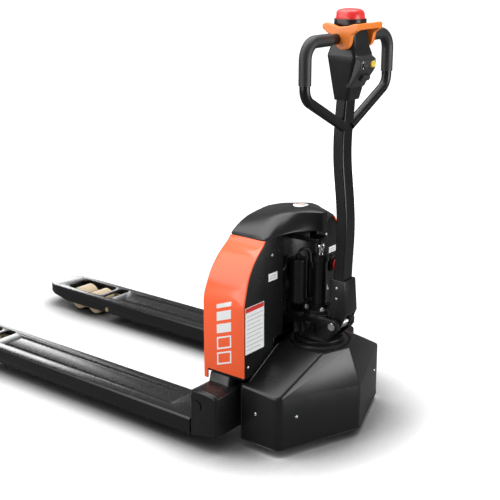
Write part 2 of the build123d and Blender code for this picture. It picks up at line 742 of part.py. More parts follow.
with BuildPart() as neck:
    with Locations((st(axis_x), 0, journal_floor)):
        Cylinder(neck_radius, disc_floor - journal_floor + 1,
                 align=(Align.CENTER, Align.CENTER, Align.MIN))
    with Locations((st(axis_x), 0, disc_floor)):
        Cylinder(disc_radius, disc_top - disc_floor,
                 align=(Align.CENTER, Align.CENTER, Align.MIN))
    for sign in (-1, 1):
        centre = sign * (cheek[0] + cheek[1]) / 2
        with BuildSketch(side_view(centre + (cheek[1] - cheek[0]) / 2)):
            with BuildLine():
                Polyline(
                    (st(axis_x - 38), disc_top - 1),
                    (st(axis_x + 48), disc_top - 1),
                    (st(tiller_x + 10), tiller_z - 20),
                    (st(tiller_x + 18), tiller_z - 8),
                    (st(tiller_x + 18), tiller_z + 10),
                    (st(tiller_x + 8), tiller_z + 18),
                    (st(tiller_x - 12), tiller_z + 18),
                    (st(axis_x + 30), flange_top - 1),
                    (st(axis_x - 38), flange_top - 1),
                    close=True,
                )
            make_face()
            with Locations((st(axis_x - 4), (disc_top + flange_floor) / 2)):
                RectangleRounded(44, 34, 8, mode=Mode.SUBTRACT)
            with Locations((st(tiller_x), tiller_z)):
                Circle(tiller_pin_radius + run_fit, mode=Mode.SUBTRACT)
        extrude(amount=cheek[1] - cheek[0])
    with BuildSketch(Plane.XY.offset(flange_floor)):
        with Locations((st(axis_x), 0)):
            Circle(50)
        with Locations((st(axis_x - 52), 0)):
            RectangleRounded(60, 108, 12)
    extrude(amount=flange_top - flange_floor)
    with Locations((st(axis_x - 60), 0, (disc_top + flange_floor) / 2)):
        Box(8, 80, 62)
    with Locations((st(axis_x - 82), 0, flange_top - 1)):
        Box(8, 92, shelf_top - flange_top + 1, align=(Align.MIN, Align.CENTER, Align.MIN))
    with Locations((st(axis_x - 82), 0, shelf_top - 6)):
        Box(48, 100, 6, align=(Align.MIN, Align.CENTER, Align.MIN))
save(neck, "neck")

# ================================================================ lift cylinder and ram
barrel_radius = 20.0
ram_radius = 12.0
ball_neck = 8.0
barrel_top = 512.0
bolt_circle = 37.0

with BuildPart() as cylinder_barrel:
    with Locations((st(axis_x), 0, flange_top)):
        Cylinder(46, 10, align=(Align.CENTER, Align.CENTER, Align.MIN))
        Cylinder(barrel_radius, barrel_top - flange_top,
                 align=(Align.CENTER, Align.CENTER, Align.MIN))
        Cylinder(25, 20, align=(Align.CENTER, Align.CENTER, Align.MIN))
    with Locations((st(axis_x), 0, barrel_top - 20)):
        Cylinder(24, 16, align=(Align.CENTER, Align.CENTER, Align.MIN))
    with Locations((st(axis_x), barrel_radius - 2, flange_top + 42)):
        Cylinder(6, 10, rotation=(-90, 0, 0), align=(Align.CENTER, Align.CENTER, Align.MIN))
    with Locations((st(axis_x), 0, flange_top + 8)):
        Cylinder(ram_radius + run_fit, 400, align=(Align.CENTER, Align.CENTER, Align.MIN),
                 mode=Mode.SUBTRACT)
    chamfer(cylinder_barrel.edges().filter_by(GeomType.CIRCLE).group_by(Axis.Z)[-1], 1)
save(cylinder_barrel, "cylinder_barrel")

with BuildPart() as cylinder_bolts:
    with BuildSketch(Plane.XY.offset(flange_top + 10)):
        with Locations((st(axis_x), 0)):
            with PolarLocations(bolt_circle, 4, start_angle=45):
                RegularPolygon(7.5, 6)
    extrude(amount=5.5)
    with Locations((st(axis_x), 0, flange_top + 15.5)):
        with PolarLocations(bolt_circle, 4, start_angle=45):
            Cylinder(4, 3, align=(Align.CENTER, Align.CENTER, Align.MIN))
save(cylinder_bolts, "cylinder_bolts")

with BuildPart() as ram:
    with Locations((st(axis_x), 0, flange_top + 10)):
        Cylinder(ram_radius, ball_z - 22 - flange_top - 10,
                 align=(Align.CENTER, Align.CENTER, Align.MIN))
    with Locations((st(axis_x), 0, ball_z - 24)):
        Cylinder(ball_neck, 22, align=(Align.CENTER, Align.CENTER, Align.MIN))
    with Locations((st(axis_x), 0, ball_z)):
        Sphere(ball_radius)
save(ram, "ram")

tank_x, tank_y = axis_x - 54, -28.0
with BuildPart() as oil_tank:
    with Locations((st(tank_x), tank_y, shelf_top)):
        Cylinder(25, 124, align=(Align.CENTER, Align.CENTER, Align.MIN))
        Cylinder(27, 8, align=(Align.CENTER, Align.CENTER, Align.MIN))
    fillet(oil_tank.edges().group_by(Axis.Z)[-1], 6)
    with Locations((st(tank_x), tank_y, shelf_top + 124)):
        Cylinder(9, 9, align=(Align.CENTER, Align.CENTER, Align.MIN))
save(oil_tank, "oil_tank")

with BuildPart() as pump_motor:
    with Locations((st(tank_x + 2), 27, shelf_top)):
        Cylinder(23, 90, align=(Align.CENTER, Align.CENTER, Align.MIN))
    fillet(pump_motor.edges().group_by(Axis.Z)[-1], 4)
    with Locations((st(tank_x + 2), 27, shelf_top + 90)):
        Cylinder(13, 10, align=(Align.CENTER, Align.CENTER, Align.MIN))
save(pump_motor, "pump_motor")

with BuildPart() as tiller_pin:
    with Locations((st(tiller_x), 0, tiller_z)):
        Cylinder(tiller_pin_radius, 2 * cheek[1] + 2, rotation=(90, 0, 0))
    for sign in (-1, 1):
        with Locations((st(tiller_x), sign * (cheek[1] + 1), tiller_z)):
            Cylinder(11, 4, rotation=(-90 * sign, 0, 0),
                     align=(Align.CENTER, Align.CENTER, Align.MIN))
    chamfer(tiller_pin.edges().filter_by(GeomType.CIRCLE).group_by(Axis.Y)[0], 1)
    chamfer(tiller_pin.edges().filter_by(GeomType.CIRCLE).group_by(Axis.Y)[-1], 1)
save(tiller_pin, "tiller_pin")

# ================================================================ drive unit
yoke_cheek = (42.0, 52.0)
wheel_z = wheel_radius
axle_radius = 15.0

with BuildPart() as drive_yoke:
    with Locations((st(axis_x), 0, 214)):
        Cylinder(62, journal_floor - 214, align=(Align.CENTER, Align.CENTER, Align.MIN))
    for sign in (-1, 1):
        centre = sign * (yoke_cheek[0] + yoke_cheek[1]) / 2
        with BuildSketch(side_view(centre + (yoke_cheek[1] - yoke_cheek[0]) / 2)):
            with Locations((st(axis_x), wheel_z)):
                Circle(32)
            with Locations((st(axis_x), 200)):
                Rectangle(70, 30)
            make_hull()
            with Locations((st(axis_x), wheel_z)):
                Circle(axle_radius + run_fit, mode=Mode.SUBTRACT)
        extrude(amount=yoke_cheek[1] - yoke_cheek[0])
save(drive_yoke, "drive_yoke")

with BuildPart() as drive_gearbox:
    with Locations((st(axis_x), yoke_cheek[1], wheel_z)):
        Cylinder(60, 26, rotation=(-90, 0, 0), align=(Align.CENTER, Align.CENTER, Align.MIN))
    fillet(drive_gearbox.edges().group_by(Axis.Y)[-1], 5)
save(drive_gearbox, "drive_gearbox")

with BuildPart() as drive_motor:
    with Locations((st(axis_x), yoke_cheek[1] + 26, wheel_z)):
        Cylinder(43, 34, rotation=(-90, 0, 0), align=(Align.CENTER, Align.CENTER, Align.MIN))
    fillet(drive_motor.edges().group_by(Axis.Y)[-1], 5)
save(drive_motor, "drive_motor")

with BuildPart() as drive_brake:
    with Locations((st(axis_x), -yoke_cheek[1], wheel_z)):
        Cylinder(38, 30, rotation=(90, 0, 0), align=(Align.CENTER, Align.CENTER, Align.MIN))
    fillet(drive_brake.edges().group_by(Axis.Y)[0], 4)
save(drive_brake, "drive_brake")

hub_radius = 72.0
with BuildPart() as wheel_hub:
    with Locations((st(axis_x), 0, wheel_z)):
        Cylinder(hub_radius, wheel_width - 4, rotation=(90, 0, 0))
        for sign in (-1, 1):
            with Locations((0, sign * (wheel_width / 2 - 2), 0)):
                Cylinder(54, 24, rotation=(90, 0, 0), mode=Mode.SUBTRACT)
        Cylinder(28, wheel_width + 6, rotation=(90, 0, 0))
        Cylinder(axle_radius, 2 * yoke_cheek[1] - 1, rotation=(90, 0, 0))
    with Locations((st(axis_x), 0, wheel_z)):
        with Locations(Rotation(90, 0, 0)):
            with PolarLocations(41, 5):
                Cylinder(5, 30)
save(wheel_hub, "wheel_hub")

with BuildPart() as wheel_tyre:
    with Locations((st(axis_x), 0, wheel_z)):
        Cylinder(wheel_radius, wheel_width, rotation=(90, 0, 0))
        chamfer(wheel_tyre.edges(), 5)
        Cylinder(hub_radius, wheel_width + 2, rotation=(90, 0, 0), mode=Mode.SUBTRACT)
save(wheel_tyre, "wheel_tyre")

# ================================================================ tiller
socket_half = 29.0
tube_wide, tube_deep = 48.0, 32.0
tube_x = tiller_x + 4      # tube in its socket
socket_top = 455.0

with BuildPart() as tiller_socket:
    with BuildSketch(side_view(socket_half)):
        with BuildLine():
            Polyline(
                (st(tiller_x - 17), tiller_z - 2),
                (st(tiller_x - 10), tiller_z - 15),
                (st(tiller_x + 12), tiller_z - 15),
                (st(tiller_x + 34), tiller_z + 40),
                (st(tiller_x + 26), socket_top),
                (st(tiller_x - 20), socket_top),
                (st(tiller_x - 20), tiller_z + 40),
                close=True,
            )
        make_face()
    extrude(amount=2 * socket_half)
    fillet(tiller_socket.edges().filter_by(Axis.Z), 4)
    with Locations((st(tiller_x), 0, tiller_z)):
        Cylinder(tiller_pin_radius + run_fit, 100, rotation=(90, 0, 0), mode=Mode.SUBTRACT)
    with Locations((st(tiller_x + 5), 0, tiller_z - 20)):
        Box(80, 38, 50, align=(Align.CENTER, Align.CENTER, Align.MIN), mode=Mode.SUBTRACT)
    with Locations((st(tube_x), 0, tiller_z + 60)):
        Box(tube_deep, tube_wide, 200, align=(Align.CENTER, Align.CENTER, Align.MIN),
            mode=Mode.SUBTRACT)
save(tiller_socket, "tiller_socket")

with BuildPart() as tiller_tube:
    with BuildLine():
        Line((st(tube_x), 0, tiller_z + 60), (st(tube_x), 0, socket_top))
        Spline((st(tube_x), 0, socket_top), (st(tube_x + 4.5), 0, 590),
               (st(tube_x - 3), 0, 700), (st(tube_x - 12.5), 0, 800),
               (st(handle_x - 8), 0, 890), (st(handle_x - 3), 0, 965),
               tangents=((0, 0, 1), (0.05, 0, 1)))
    with BuildSketch(Plane.XY.offset(tiller_z + 60)):
        with Locations((st(tube_x), 0)):
            Rectangle(tube_deep, tube_wide)
    sweep()
    long_edges = tiller_tube.edges().filter_by(lambda e: e.length > 60)
    fillet(long_edges.filter_by(lambda e: e.center().Z > socket_top + 20), 5)
save(tiller_tube, "tiller_tube")

coil_radius, wire_radius, coil_pitch = 12.5, 1.8, 4.2
spring_half = 19.0 - wire_radius - 0.05
with BuildPart() as tiller_springs:
    coil = Helix(coil_pitch, 2 * spring_half, coil_radius)
    with BuildSketch(Plane(origin=coil @ 0, z_dir=coil % 0)):
        Circle(wire_radius)
    sweep(path=coil, is_frenet=True)
springs = Pos(st(tiller_x), spring_half, tiller_z) * Rot(90, 0, 0) * tiller_springs.part
with BuildPart() as springs_placed:
    add(springs)
save(springs_placed, "tiller_springs")

# ---------------------------------------------------------------- handle loop
bar_z = 1103.0
head_side = 44.0
tube_radius = 13.5
leg_root = (14.0, 874.0)
leg_knee = (grip_half, 966.0)
bend = 42.0


def loop_points(sign):
    return [(st(handle_x), sign * leg_root[0], leg_root[1]),
            (st(handle_x), sign * leg_knee[0], leg_knee[1]),
            (st(handle_x), sign * leg_knee[0], bar_z),
            (st(handle_x), sign * (head_side - 2), bar_z)]


with BuildPart() as handle_loop:
    for sign in (-1, 1):
        with BuildLine() as loop_line:
            FilletPolyline(*loop_points(sign), radius=bend)
        with BuildSketch(Plane(origin=loop_line.line @ 0, z_dir=loop_line.line % 0)):
            Circle(tube_radius)
        sweep(path=loop_line.line)
    add(tiller_tube.part, mode=Mode.SUBTRACT)
save(handle_loop, "handle_loop")

grip_radius = tube_radius + 2.5
grip_floor = 1000.0
with BuildPart() as grips:
    for sign in (-1, 1):
        with BuildLine() as grip_line:
            FilletPolyline(
                (st(handle_x), sign * grip_half, grip_floor),
                (st(handle_x), sign * grip_half, bar_z),
                (st(handle_x), sign * 90, bar_z),
                radius=bend,
            )
        with BuildSketch(Plane(origin=grip_line.line @ 0, z_dir=grip_line.line % 0)):
            Circle(grip_radius)
            Circle(tube_radius, mode=Mode.SUBTRACT)
        sweep(path=grip_line.line)
save(grips, "grips")

# ---------------------------------------------------------------- head
head_floor = 945.0
head_top = 1132.0
with BuildPart() as head_body:
    sections = [
        (head_floor, handle_x + 3, 56, 60),
        (1010.0, handle_x + 3, 74, 78),
        (1062.0, handle_x + 4, 88, 88),
        (1080.0, handle_x + 3, 78, 84),
        (head_top, handle_x + 2, 66, 70),
    ]
    for z, x, deep, wide in sections:
        with BuildSketch(Plane.XY.offset(z)):
            with Locations((st(x), 0)):
                RectangleRounded(deep, wide, 9)
    loft(ruled=True)
    add(tiller_tube.part, mode=Mode.SUBTRACT)
    add(handle_loop.part, mode=Mode.SUBTRACT)
save(head_body, "head_body")

collar_deep, collar_wide = 78.0, 76.0
collar_corner = 30.0
collar_wall = 3.5
with BuildPart() as head_collar:
    with BuildSketch(Plane.XY.offset(head_top)):
        with Locations((st(handle_x + 2), 0)):
            RectangleRounded(collar_deep, collar_wide, collar_corner)
    extrude(amount=18)
    chamfer(head_collar.edges().group_by(Axis.Z)[0], 3)
    with BuildSketch(Plane.XY.offset(head_top + 4)):
        with Locations((st(handle_x + 2), 0)):
            RectangleRounded(collar_deep - 2 * collar_wall, collar_wide - 2 * collar_wall,
                             collar_corner - collar_wall)
    extrude(amount=30, mode=Mode.SUBTRACT)
save(head_collar, "head_collar")

button_travel = 8.0
button_floor = head_top + 4 + button_travel + 0.5
button_inset = collar_wall + free_gap
with BuildPart() as belly_button:
    for rise, inset in ((0, 0), (14, 0), (22, 2.5), (28, 8), (31, 15)):
        with BuildSketch(Plane.XY.offset(button_floor + rise)):
            with Locations((st(handle_x + 2), 0)):
                RectangleRounded(collar_deep - 2 * (button_inset + inset),
                                 collar_wide - 2 * (button_inset + inset),
                                 collar_corner - button_inset - 0.6 * inset)
    loft(ruled=True)
save(belly_button, "belly_button")

# ---------------------------------------------------------------- throttle
wing_inner, wing_outer = 45.0, 62.0
wing_reach_x, wing_reach_z = 58.0, 31.0
with BuildPart() as throttle:
    for sign in (-1, 1):
        centre = sign * (wing_inner + wing_outer) / 2
        for fore in (-1, 1):
            with BuildSketch(side_view(centre + (wing_outer - wing_inner) / 2)):
                with Locations((st(handle_x), bar_z - 6)):
                    Circle(25)
                with Locations((st(handle_x) + fore * (wing_reach_x - 4), bar_z + wing_reach_z)):
                    Circle(9)
                make_hull()
            extrude(amount=wing_outer - wing_inner)
    with Locations((st(handle_x + wing_reach_x), 0, bar_z + wing_reach_z)):
        Box(9, 2 * wing_inner + 4, 16)
    with Locations((st(handle_x), 0, bar_z)):
        Cylinder(tube_radius + free_gap, 400, rotation=(90, 0, 0), mode=Mode.SUBTRACT)
save(throttle, "throttle")

# ---------------------------------------------------------------- switches on the head
cover_wide = 74.0
cover_x = handle_x + 3 + 44
cover_rear = cover_x + 16
switch_z = 1038.0
creep_y, horn_y = 18.0, -18.0
switch_radius = 11.0
switch_travel = 3.0
rocker_x, rocker_z = cover_x + 2.0, 1005.0
rocker_radius = 9.0
rocker_wide = 30.0

with BuildPart() as head_cover:
    with BuildSketch(side_view(cover_wide / 2)):
        with BuildLine():
            Polyline(
                (st(cover_x - 6), 1066),
                (st(cover_x + 4), 1064),
                (st(cover_rear), 1054),
                (st(cover_rear), 1024),
                (st(cover_x - 8), 978),
                (st(cover_x - 30), 978),
                (st(cover_x - 30), 1066),
                close=True,
            )
        make_face()
    extrude(amount=cover_wide)
    chamfer(head_cover.edges().filter_by(Axis.Z).group_by(Axis.X)[-1], 5)
    add(head_body.part, mode=Mode.SUBTRACT)
    for y in (creep_y, horn_y):
        with Locations((st(cover_rear - 9), y, switch_z)):
            Cylinder(switch_radius + free_gap, 20, rotation=(0, 90, 0),
                     align=(Align.CENTER, Align.CENTER, Align.MIN), mode=Mode.SUBTRACT)
    with Locations((st(rocker_x), 0, rocker_z)):
        Cylinder(rocker_radius + free_gap, rocker_wide + 2, rotation=(90, 0, 0),
                 mode=Mode.SUBTRACT)
save(head_cover, "head_cover")

for y, name in ((creep_y, "creep_button"), (horn_y, "horn_button")):
    with BuildPart() as switch:
        with Locations((st(cover_rear - 9 + switch_travel + free_gap), y, switch_z)):
            Cylinder(switch_radius, 9, rotation=(0, 90, 0),
                     align=(Align.CENTER, Align.CENTER, Align.MIN))
        fillet(switch.edges().group_by(Axis.X)[-1], 2)
    save(switch, name)

with BuildPart() as lift_rocker:
    with Locations((st(rocker_x), 0, rocker_z)):
        Cylinder(rocker_radius, rocker_wide, rotation=(90, 0, 0))
save(lift_rocker, "lift_rocker")

# ================================================================ cable and housing screws
cable_radius = 5.0
cable_track = recess_radius - 8


def on_recess(radius, angle, z):
    """Point on a circle round the steering axis."""
    turn = radians(angle)
    return (st(axis_x) + radius * cos(turn), radius * sin(turn), z)


with BuildPart() as power_cable:
    with BuildLine() as cable_line:
        Spline(
            on_recess(recess_radius + 2, 218, 462),
            on_recess(cable_track, 212, 474),
            on_recess(cable_track, 200, 492),
            on_recess(cable_track, 186, 478),
            on_recess(cable_track, 174, 440),
            on_recess(cable_track, 168, 405),
            on_recess(recess_radius + 2, 165, 385),
        )
    with BuildSketch(Plane(origin=cable_line.line @ 0, z_dir=cable_line.line % 0)):
        Circle(cable_radius)
    sweep(path=cable_line.line)
    with Locations((st(axis_x), 0, 450)):
        Cylinder(recess_radius, 400, mode=Mode.INTERSECT)
save(power_cable, "power_cable")

with BuildPart() as housing_screws:
    for y, z in ((-130, 525), (130, 525), (-236, 232), (236, 232)):
        head = Plane(origin=(st(housing_rear), y, z), z_dir=(1, 0, 0))
        with Locations(head):
            Cylinder(5, 2.6, align=(Align.CENTER, Align.CENTER, Align.MIN))
        with BuildSketch(head.offset(1.2)):
            RegularPolygon(2.2, 6)
        extrude(amount=5, mode=Mode.SUBTRACT)
save(housing_screws, "housing_screws")
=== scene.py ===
"""Looks of the electric pallet truck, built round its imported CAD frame. Metres, +Z up, forks to -X."""
import bpy
import bmesh
import json
from math import cos, pi, radians, sin
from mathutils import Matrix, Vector
from mathutils.bvhtree import BVHTree


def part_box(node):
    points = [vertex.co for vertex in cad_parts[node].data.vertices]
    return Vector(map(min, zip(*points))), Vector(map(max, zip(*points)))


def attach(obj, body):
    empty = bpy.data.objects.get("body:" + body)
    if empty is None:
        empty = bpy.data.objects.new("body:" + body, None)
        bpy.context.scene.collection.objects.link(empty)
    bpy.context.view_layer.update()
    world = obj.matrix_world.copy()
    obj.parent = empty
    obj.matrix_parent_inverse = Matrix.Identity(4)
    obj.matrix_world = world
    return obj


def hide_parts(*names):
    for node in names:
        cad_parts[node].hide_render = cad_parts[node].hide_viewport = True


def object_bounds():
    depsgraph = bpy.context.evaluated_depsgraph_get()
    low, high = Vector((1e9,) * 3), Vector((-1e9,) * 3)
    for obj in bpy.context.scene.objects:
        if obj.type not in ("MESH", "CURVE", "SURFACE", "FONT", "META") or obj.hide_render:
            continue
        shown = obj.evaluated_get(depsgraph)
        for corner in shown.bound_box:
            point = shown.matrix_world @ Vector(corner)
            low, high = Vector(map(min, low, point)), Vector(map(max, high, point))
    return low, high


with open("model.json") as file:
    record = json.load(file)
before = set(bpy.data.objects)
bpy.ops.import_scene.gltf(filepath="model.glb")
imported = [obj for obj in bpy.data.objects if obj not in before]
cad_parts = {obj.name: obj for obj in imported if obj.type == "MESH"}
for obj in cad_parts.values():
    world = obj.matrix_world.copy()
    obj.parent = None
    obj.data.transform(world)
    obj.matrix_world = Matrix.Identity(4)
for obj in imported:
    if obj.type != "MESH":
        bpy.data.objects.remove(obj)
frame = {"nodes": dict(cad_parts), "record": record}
cad_low, cad_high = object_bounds()
nodes = frame["nodes"]
scene = bpy.context.scene
SIDES = ((-1, "left"), (1, "right"))

FINISHES = {
    "black_steel": [
        "fork_left", "fork_right", "heel_left", "heel_right", "cross_plate", "housing",
        "battery_tray", "lift_bracket", "base_plate", "neck", "tiller_socket", "tiller_tube",
        "handle_loop", "rocker_shaft", "cylinder_barrel",
    ],
    "black_plastic": [
        "skirt", "cap", "battery", "controller", "head_body", "head_collar", "pump_motor",
        "oil_tank", "estop_base",
    ],
    "grey_plastic": ["head_cover", "lift_rocker"],
    "orange_panel": ["strip_left", "strip_right"],
    "orange_plastic": ["throttle"],
    "red_plastic": ["belly_button", "estop_button"],
    "yellow_plastic": ["creep_button"],
    "zinc": ["skirt_screws", "housing_screws", "cylinder_bolts", "tiller_pin", "tiller_springs"],
    "chrome": ["ram"],
    "bare_steel": ["guide_posts", "slewing_ring", "bogie_left", "bogie_right"],
    "castings": ["drive_yoke", "drive_gearbox", "drive_motor", "drive_brake", "wheel_hub"],
    "bronze": ["guide_bushes"],
    "roller_pu": [
        "roller_left_front", "roller_left_rear", "roller_right_front", "roller_right_rear",
    ],
    "wheel_pu": ["wheel_tyre"],
    "rubber": ["grips", "power_cable", "horn_button"],
    "olive_steel": ["arm_left", "arm_right", "push_rod_left", "push_rod_right"],
}
DARKER = {"slewing_ring": "blackened_steel"}
SLOT_OF = {node: slot for slot, members in FINISHES.items() for node in members}
BODY_OF = {
    node: body for body, members in frame["record"]["behaviour"]["bodies"].items()
    for node in members
}


# ------------------------------------------------------------------ shader groups
def shader_group(name, inputs, outputs):
    """An empty shader group with named number inputs and outputs."""
    tree = bpy.data.node_groups.new(name, "ShaderNodeTree")
    for label, value in inputs.items():
        socket = tree.interface.new_socket(label, in_out="INPUT", socket_type="NodeSocketFloat")
        socket.default_value = value
    for label in outputs:
        tree.interface.new_socket(label, in_out="OUTPUT", socket_type="NodeSocketFloat")
    return tree, tree.nodes.new("NodeGroupInput"), tree.nodes.new("NodeGroupOutput")


def math_node(tree, kind, a, b=None, clamp=False):
    """A Math node fed by sockets or plain numbers; returns its output."""
    node = tree.nodes.new("ShaderNodeMath")
    node.operation = kind
    node.use_clamp = clamp
    for place, value in enumerate((a, b)):
        if value is None:
            continue
        if isinstance(value, (int, float)):
            node.inputs[place].default_value = value
        else:
            tree.links.new(value, node.inputs[place])
    return node.outputs[0]


def noise(tree, scale, detail=3.0, rough=0.5, stretch=(1, 1, 1)):
    """Noise on object coordinates, stretched along an axis by a Mapping node."""
    coords = tree.nodes.new("ShaderNodeTexCoord")
    mapping = tree.nodes.new("ShaderNodeMapping")
    mapping.inputs["Scale"].default_value = stretch
    tree.links.new(coords.outputs["Object"], mapping.inputs["Vector"])
    texture = tree.nodes.new("ShaderNodeTexNoise")
    texture.inputs["Detail"].default_value = detail
    texture.inputs["Roughness"].default_value = rough
    tree.links.new(mapping.outputs["Vector"], texture.inputs["Vector"])
    if isinstance(scale, (int, float)):
        texture.inputs["Scale"].default_value = scale
    else:
        tree.links.new(scale, texture.inputs["Scale"])
    return texture.outputs["Fac"]


def build_grain():
    """Fine pebbled texture of moulded or sprayed surfaces."""
    tree, start, end = shader_group("fine_grain", {"Scale": 700.0, "Peel": 0.4}, ["Height", "Tone"])
    cells = tree.nodes.new("ShaderNodeTexVoronoi")
    coords = tree.nodes.new("ShaderNodeTexCoord")
    tree.links.new(coords.outputs["Object"], cells.inputs["Vector"])
    tree.links.new(start.outputs["Scale"], cells.inputs["Scale"])
    peel = noise(tree, math_node(tree, "MULTIPLY", start.outputs["Scale"], 0.35))
    soft = math_node(tree, "MULTIPLY", peel, start.outputs["Peel"])
    height = math_node(tree, "ADD", cells.outputs["Distance"], soft)
    tree.links.new(height, end.inputs["Height"])
    tree.links.new(noise(tree, 9.0, 4.0), end.inputs["Tone"])
    return tree


def build_smudge():
    """Broad uneven patches left by hands and wiping."""
    tree, start, end = shader_group("smudge", {"Scale": 14.0, "Amount": 0.1}, ["Change"])
    broad = noise(tree, start.outputs["Scale"], 5.0, 0.62)
    centred = math_node(tree, "SUBTRACT", broad, 0.5)
    change = math_node(tree, "MULTIPLY", centred, start.outputs["Amount"])
    tree.links.new(math_node(tree, "MULTIPLY", change, 2.0), end.inputs["Change"])
    return tree


def build_dust():
    """Thin dust that settles on faces that look up, and gathers low down."""
    tree, start, end = shader_group("settled_dust", {"Amount": 0.1, "Height": 0.3}, ["Mask"])
    geometry = tree.nodes.new("ShaderNodeNewGeometry")
    split = tree.nodes.new("ShaderNodeSeparateXYZ")
    tree.links.new(geometry.outputs["Normal"], split.inputs[0])
    upward = math_node(tree, "MULTIPLY", split.outputs["Z"], 0.7, clamp=True)
    coords = tree.nodes.new("ShaderNodeTexCoord")
    place = tree.nodes.new("ShaderNodeSeparateXYZ")
    tree.links.new(coords.outputs["Object"], place.inputs[0])
    low = math_node(tree, "DIVIDE", place.outputs["Z"], start.outputs["Height"])
    near_floor = math_node(tree, "SUBTRACT", 1.0, low, clamp=True)
    both = math_node(tree, "ADD", upward, math_node(tree, "MULTIPLY", near_floor, 0.6))
    patchy = math_node(tree, "MULTIPLY", both, noise(tree, 38.0, 6.0, 0.65))
    tree.links.new(
        math_node(tree, "MULTIPLY", patchy, start.outputs["Amount"], clamp=True),
        end.inputs["Mask"],
    )
    return tree


def build_edge_wear_and_light():
    """Mask of sharp outer edges for a colour laid along them: worn paint on cast and blackened parts,
    painted highlight on black parts, painted shade on the orange strips.
    """
    tree, start, end = shader_group("edge_wear_and_painted_light", {"Radius": 0.0015, "Amount": 0.5}, ["Mask"])
    rounded = tree.nodes.new("ShaderNodeBevel")
    rounded.samples = 4
    tree.links.new(start.outputs["Radius"], rounded.inputs["Radius"])
    geometry = tree.nodes.new("ShaderNodeNewGeometry")
    dot = tree.nodes.new("ShaderNodeVectorMath")
    dot.operation = "DOT_PRODUCT"
    tree.links.new(rounded.outputs["Normal"], dot.inputs[0])
    tree.links.new(geometry.outputs["Normal"], dot.inputs[1])
    bent = math_node(tree, "SUBTRACT", 1.0, dot.outputs["Value"], clamp=True)
    strong = math_node(tree, "MULTIPLY", bent, 5.0, clamp=True)
    broken = math_node(tree, "MULTIPLY", strong, noise(tree, 60.0, 4.0, 0.6))
    tree.links.new(
        math_node(tree, "MULTIPLY", broken, start.outputs["Amount"], clamp=True),
        end.inputs["Mask"],
    )
    return tree


GRAIN, SMUDGE, DUST, EDGE_WEAR_AND_LIGHT = build_grain(), build_smudge(), build_dust(), build_edge_wear_and_light()
DUST_COLOUR = (0.34, 0.32, 0.29)


# ------------------------------------------------------------------ materials
def use_group(tree, group, **values):
    """A use of a shader group with its numbers set."""
    node = tree.nodes.new("ShaderNodeGroup")
    node.node_tree = group
    for label, value in values.items():
        node.inputs[label].default_value = value
    return node


def blend_colour(tree, mask, under, over):
    """Mix of two colours by a mask; each is a socket or a plain colour."""
    mix = tree.nodes.new("ShaderNodeMix")
    mix.data_type = "RGBA"
    tree.links.new(mask, mix.inputs["Factor"])
    for socket, value in ((mix.inputs["A"], under), (mix.inputs["B"], over)):
        if isinstance(value, tuple):
            socket.default_value = (*value, 1.0)
        else:
            tree.links.new(value, socket)
    return mix.outputs["Result"]


def finish(name, colour, roughness, metallic=0.0, coat=0.0, coat_roughness=0.1, variation=0.12,
           grain=(700.0, 0.4, 0.03), smudge=0.06, dust=0.1, edge=None, edge_wear_and_light_colour=None,
           streaks=None, gloss=0.5):
    """Material with toned colour, grain bump, smudged roughness, dust, and an edge colour that is worn
    paint on some finishes and painted highlight or painted shade on others.
    """
    material = bpy.data.materials.new(name)
    material.use_nodes = True
    tree = material.node_tree
    shader = tree.nodes["Principled BSDF"]
    shader.inputs["Metallic"].default_value = metallic
    shader.inputs["Coat Weight"].default_value = coat
    shader.inputs["Coat Roughness"].default_value = coat_roughness
    shader.inputs["Specular IOR Level"].default_value = gloss
    scale, peel, depth = grain
    surface = use_group(tree, GRAIN, Scale=scale, Peel=peel)
    dark = tuple(c * (1 - variation) for c in colour)
    light = tuple(min(1.0, c * (1 + variation)) for c in colour)
    tone = blend_colour(tree, surface.outputs["Tone"], dark, light)
    # Colour along sharp edges: worn paint on cast and blackened parts, a painted highlight on the black
    # parts, a painted shade line round the orange strips.
    if edge:
        edge_wear_and_light_mask = use_group(tree, EDGE_WEAR_AND_LIGHT, Radius=edge, Amount=0.6)
        tone = blend_colour(tree, edge_wear_and_light_mask.outputs["Mask"], tone, edge_wear_and_light_colour)
    settled = use_group(tree, DUST, Amount=dust)
    tone = blend_colour(tree, settled.outputs["Mask"], tone, DUST_COLOUR)
    tree.links.new(tone, shader.inputs["Base Color"])
    change = use_group(tree, SMUDGE, Amount=smudge).outputs["Change"]
    rough = math_node(tree, "ADD", change, roughness)
    rough = math_node(tree, "ADD", rough, math_node(tree, "MULTIPLY", settled.outputs["Mask"], 0.5))
    height = surface.outputs["Height"]
    if streaks:
        brushed = noise(tree, 60.0, 4.0, 0.6, streaks)
        height = math_node(tree, "ADD", math_node(tree, "MULTIPLY", height, 0.3), brushed)
        rough = math_node(tree, "ADD", rough, math_node(tree, "MULTIPLY", brushed, 0.12))
    tree.links.new(rough, shader.inputs["Roughness"])
    bump = tree.nodes.new("ShaderNodeBump")
    bump.inputs["Strength"].default_value = 0.5
    bump.inputs["Distance"].default_value = depth / 1000    # depths are given in mm
    tree.links.new(height, bump.inputs["Height"])
    tree.links.new(bump.outputs["Normal"], shader.inputs["Normal"])
    return material


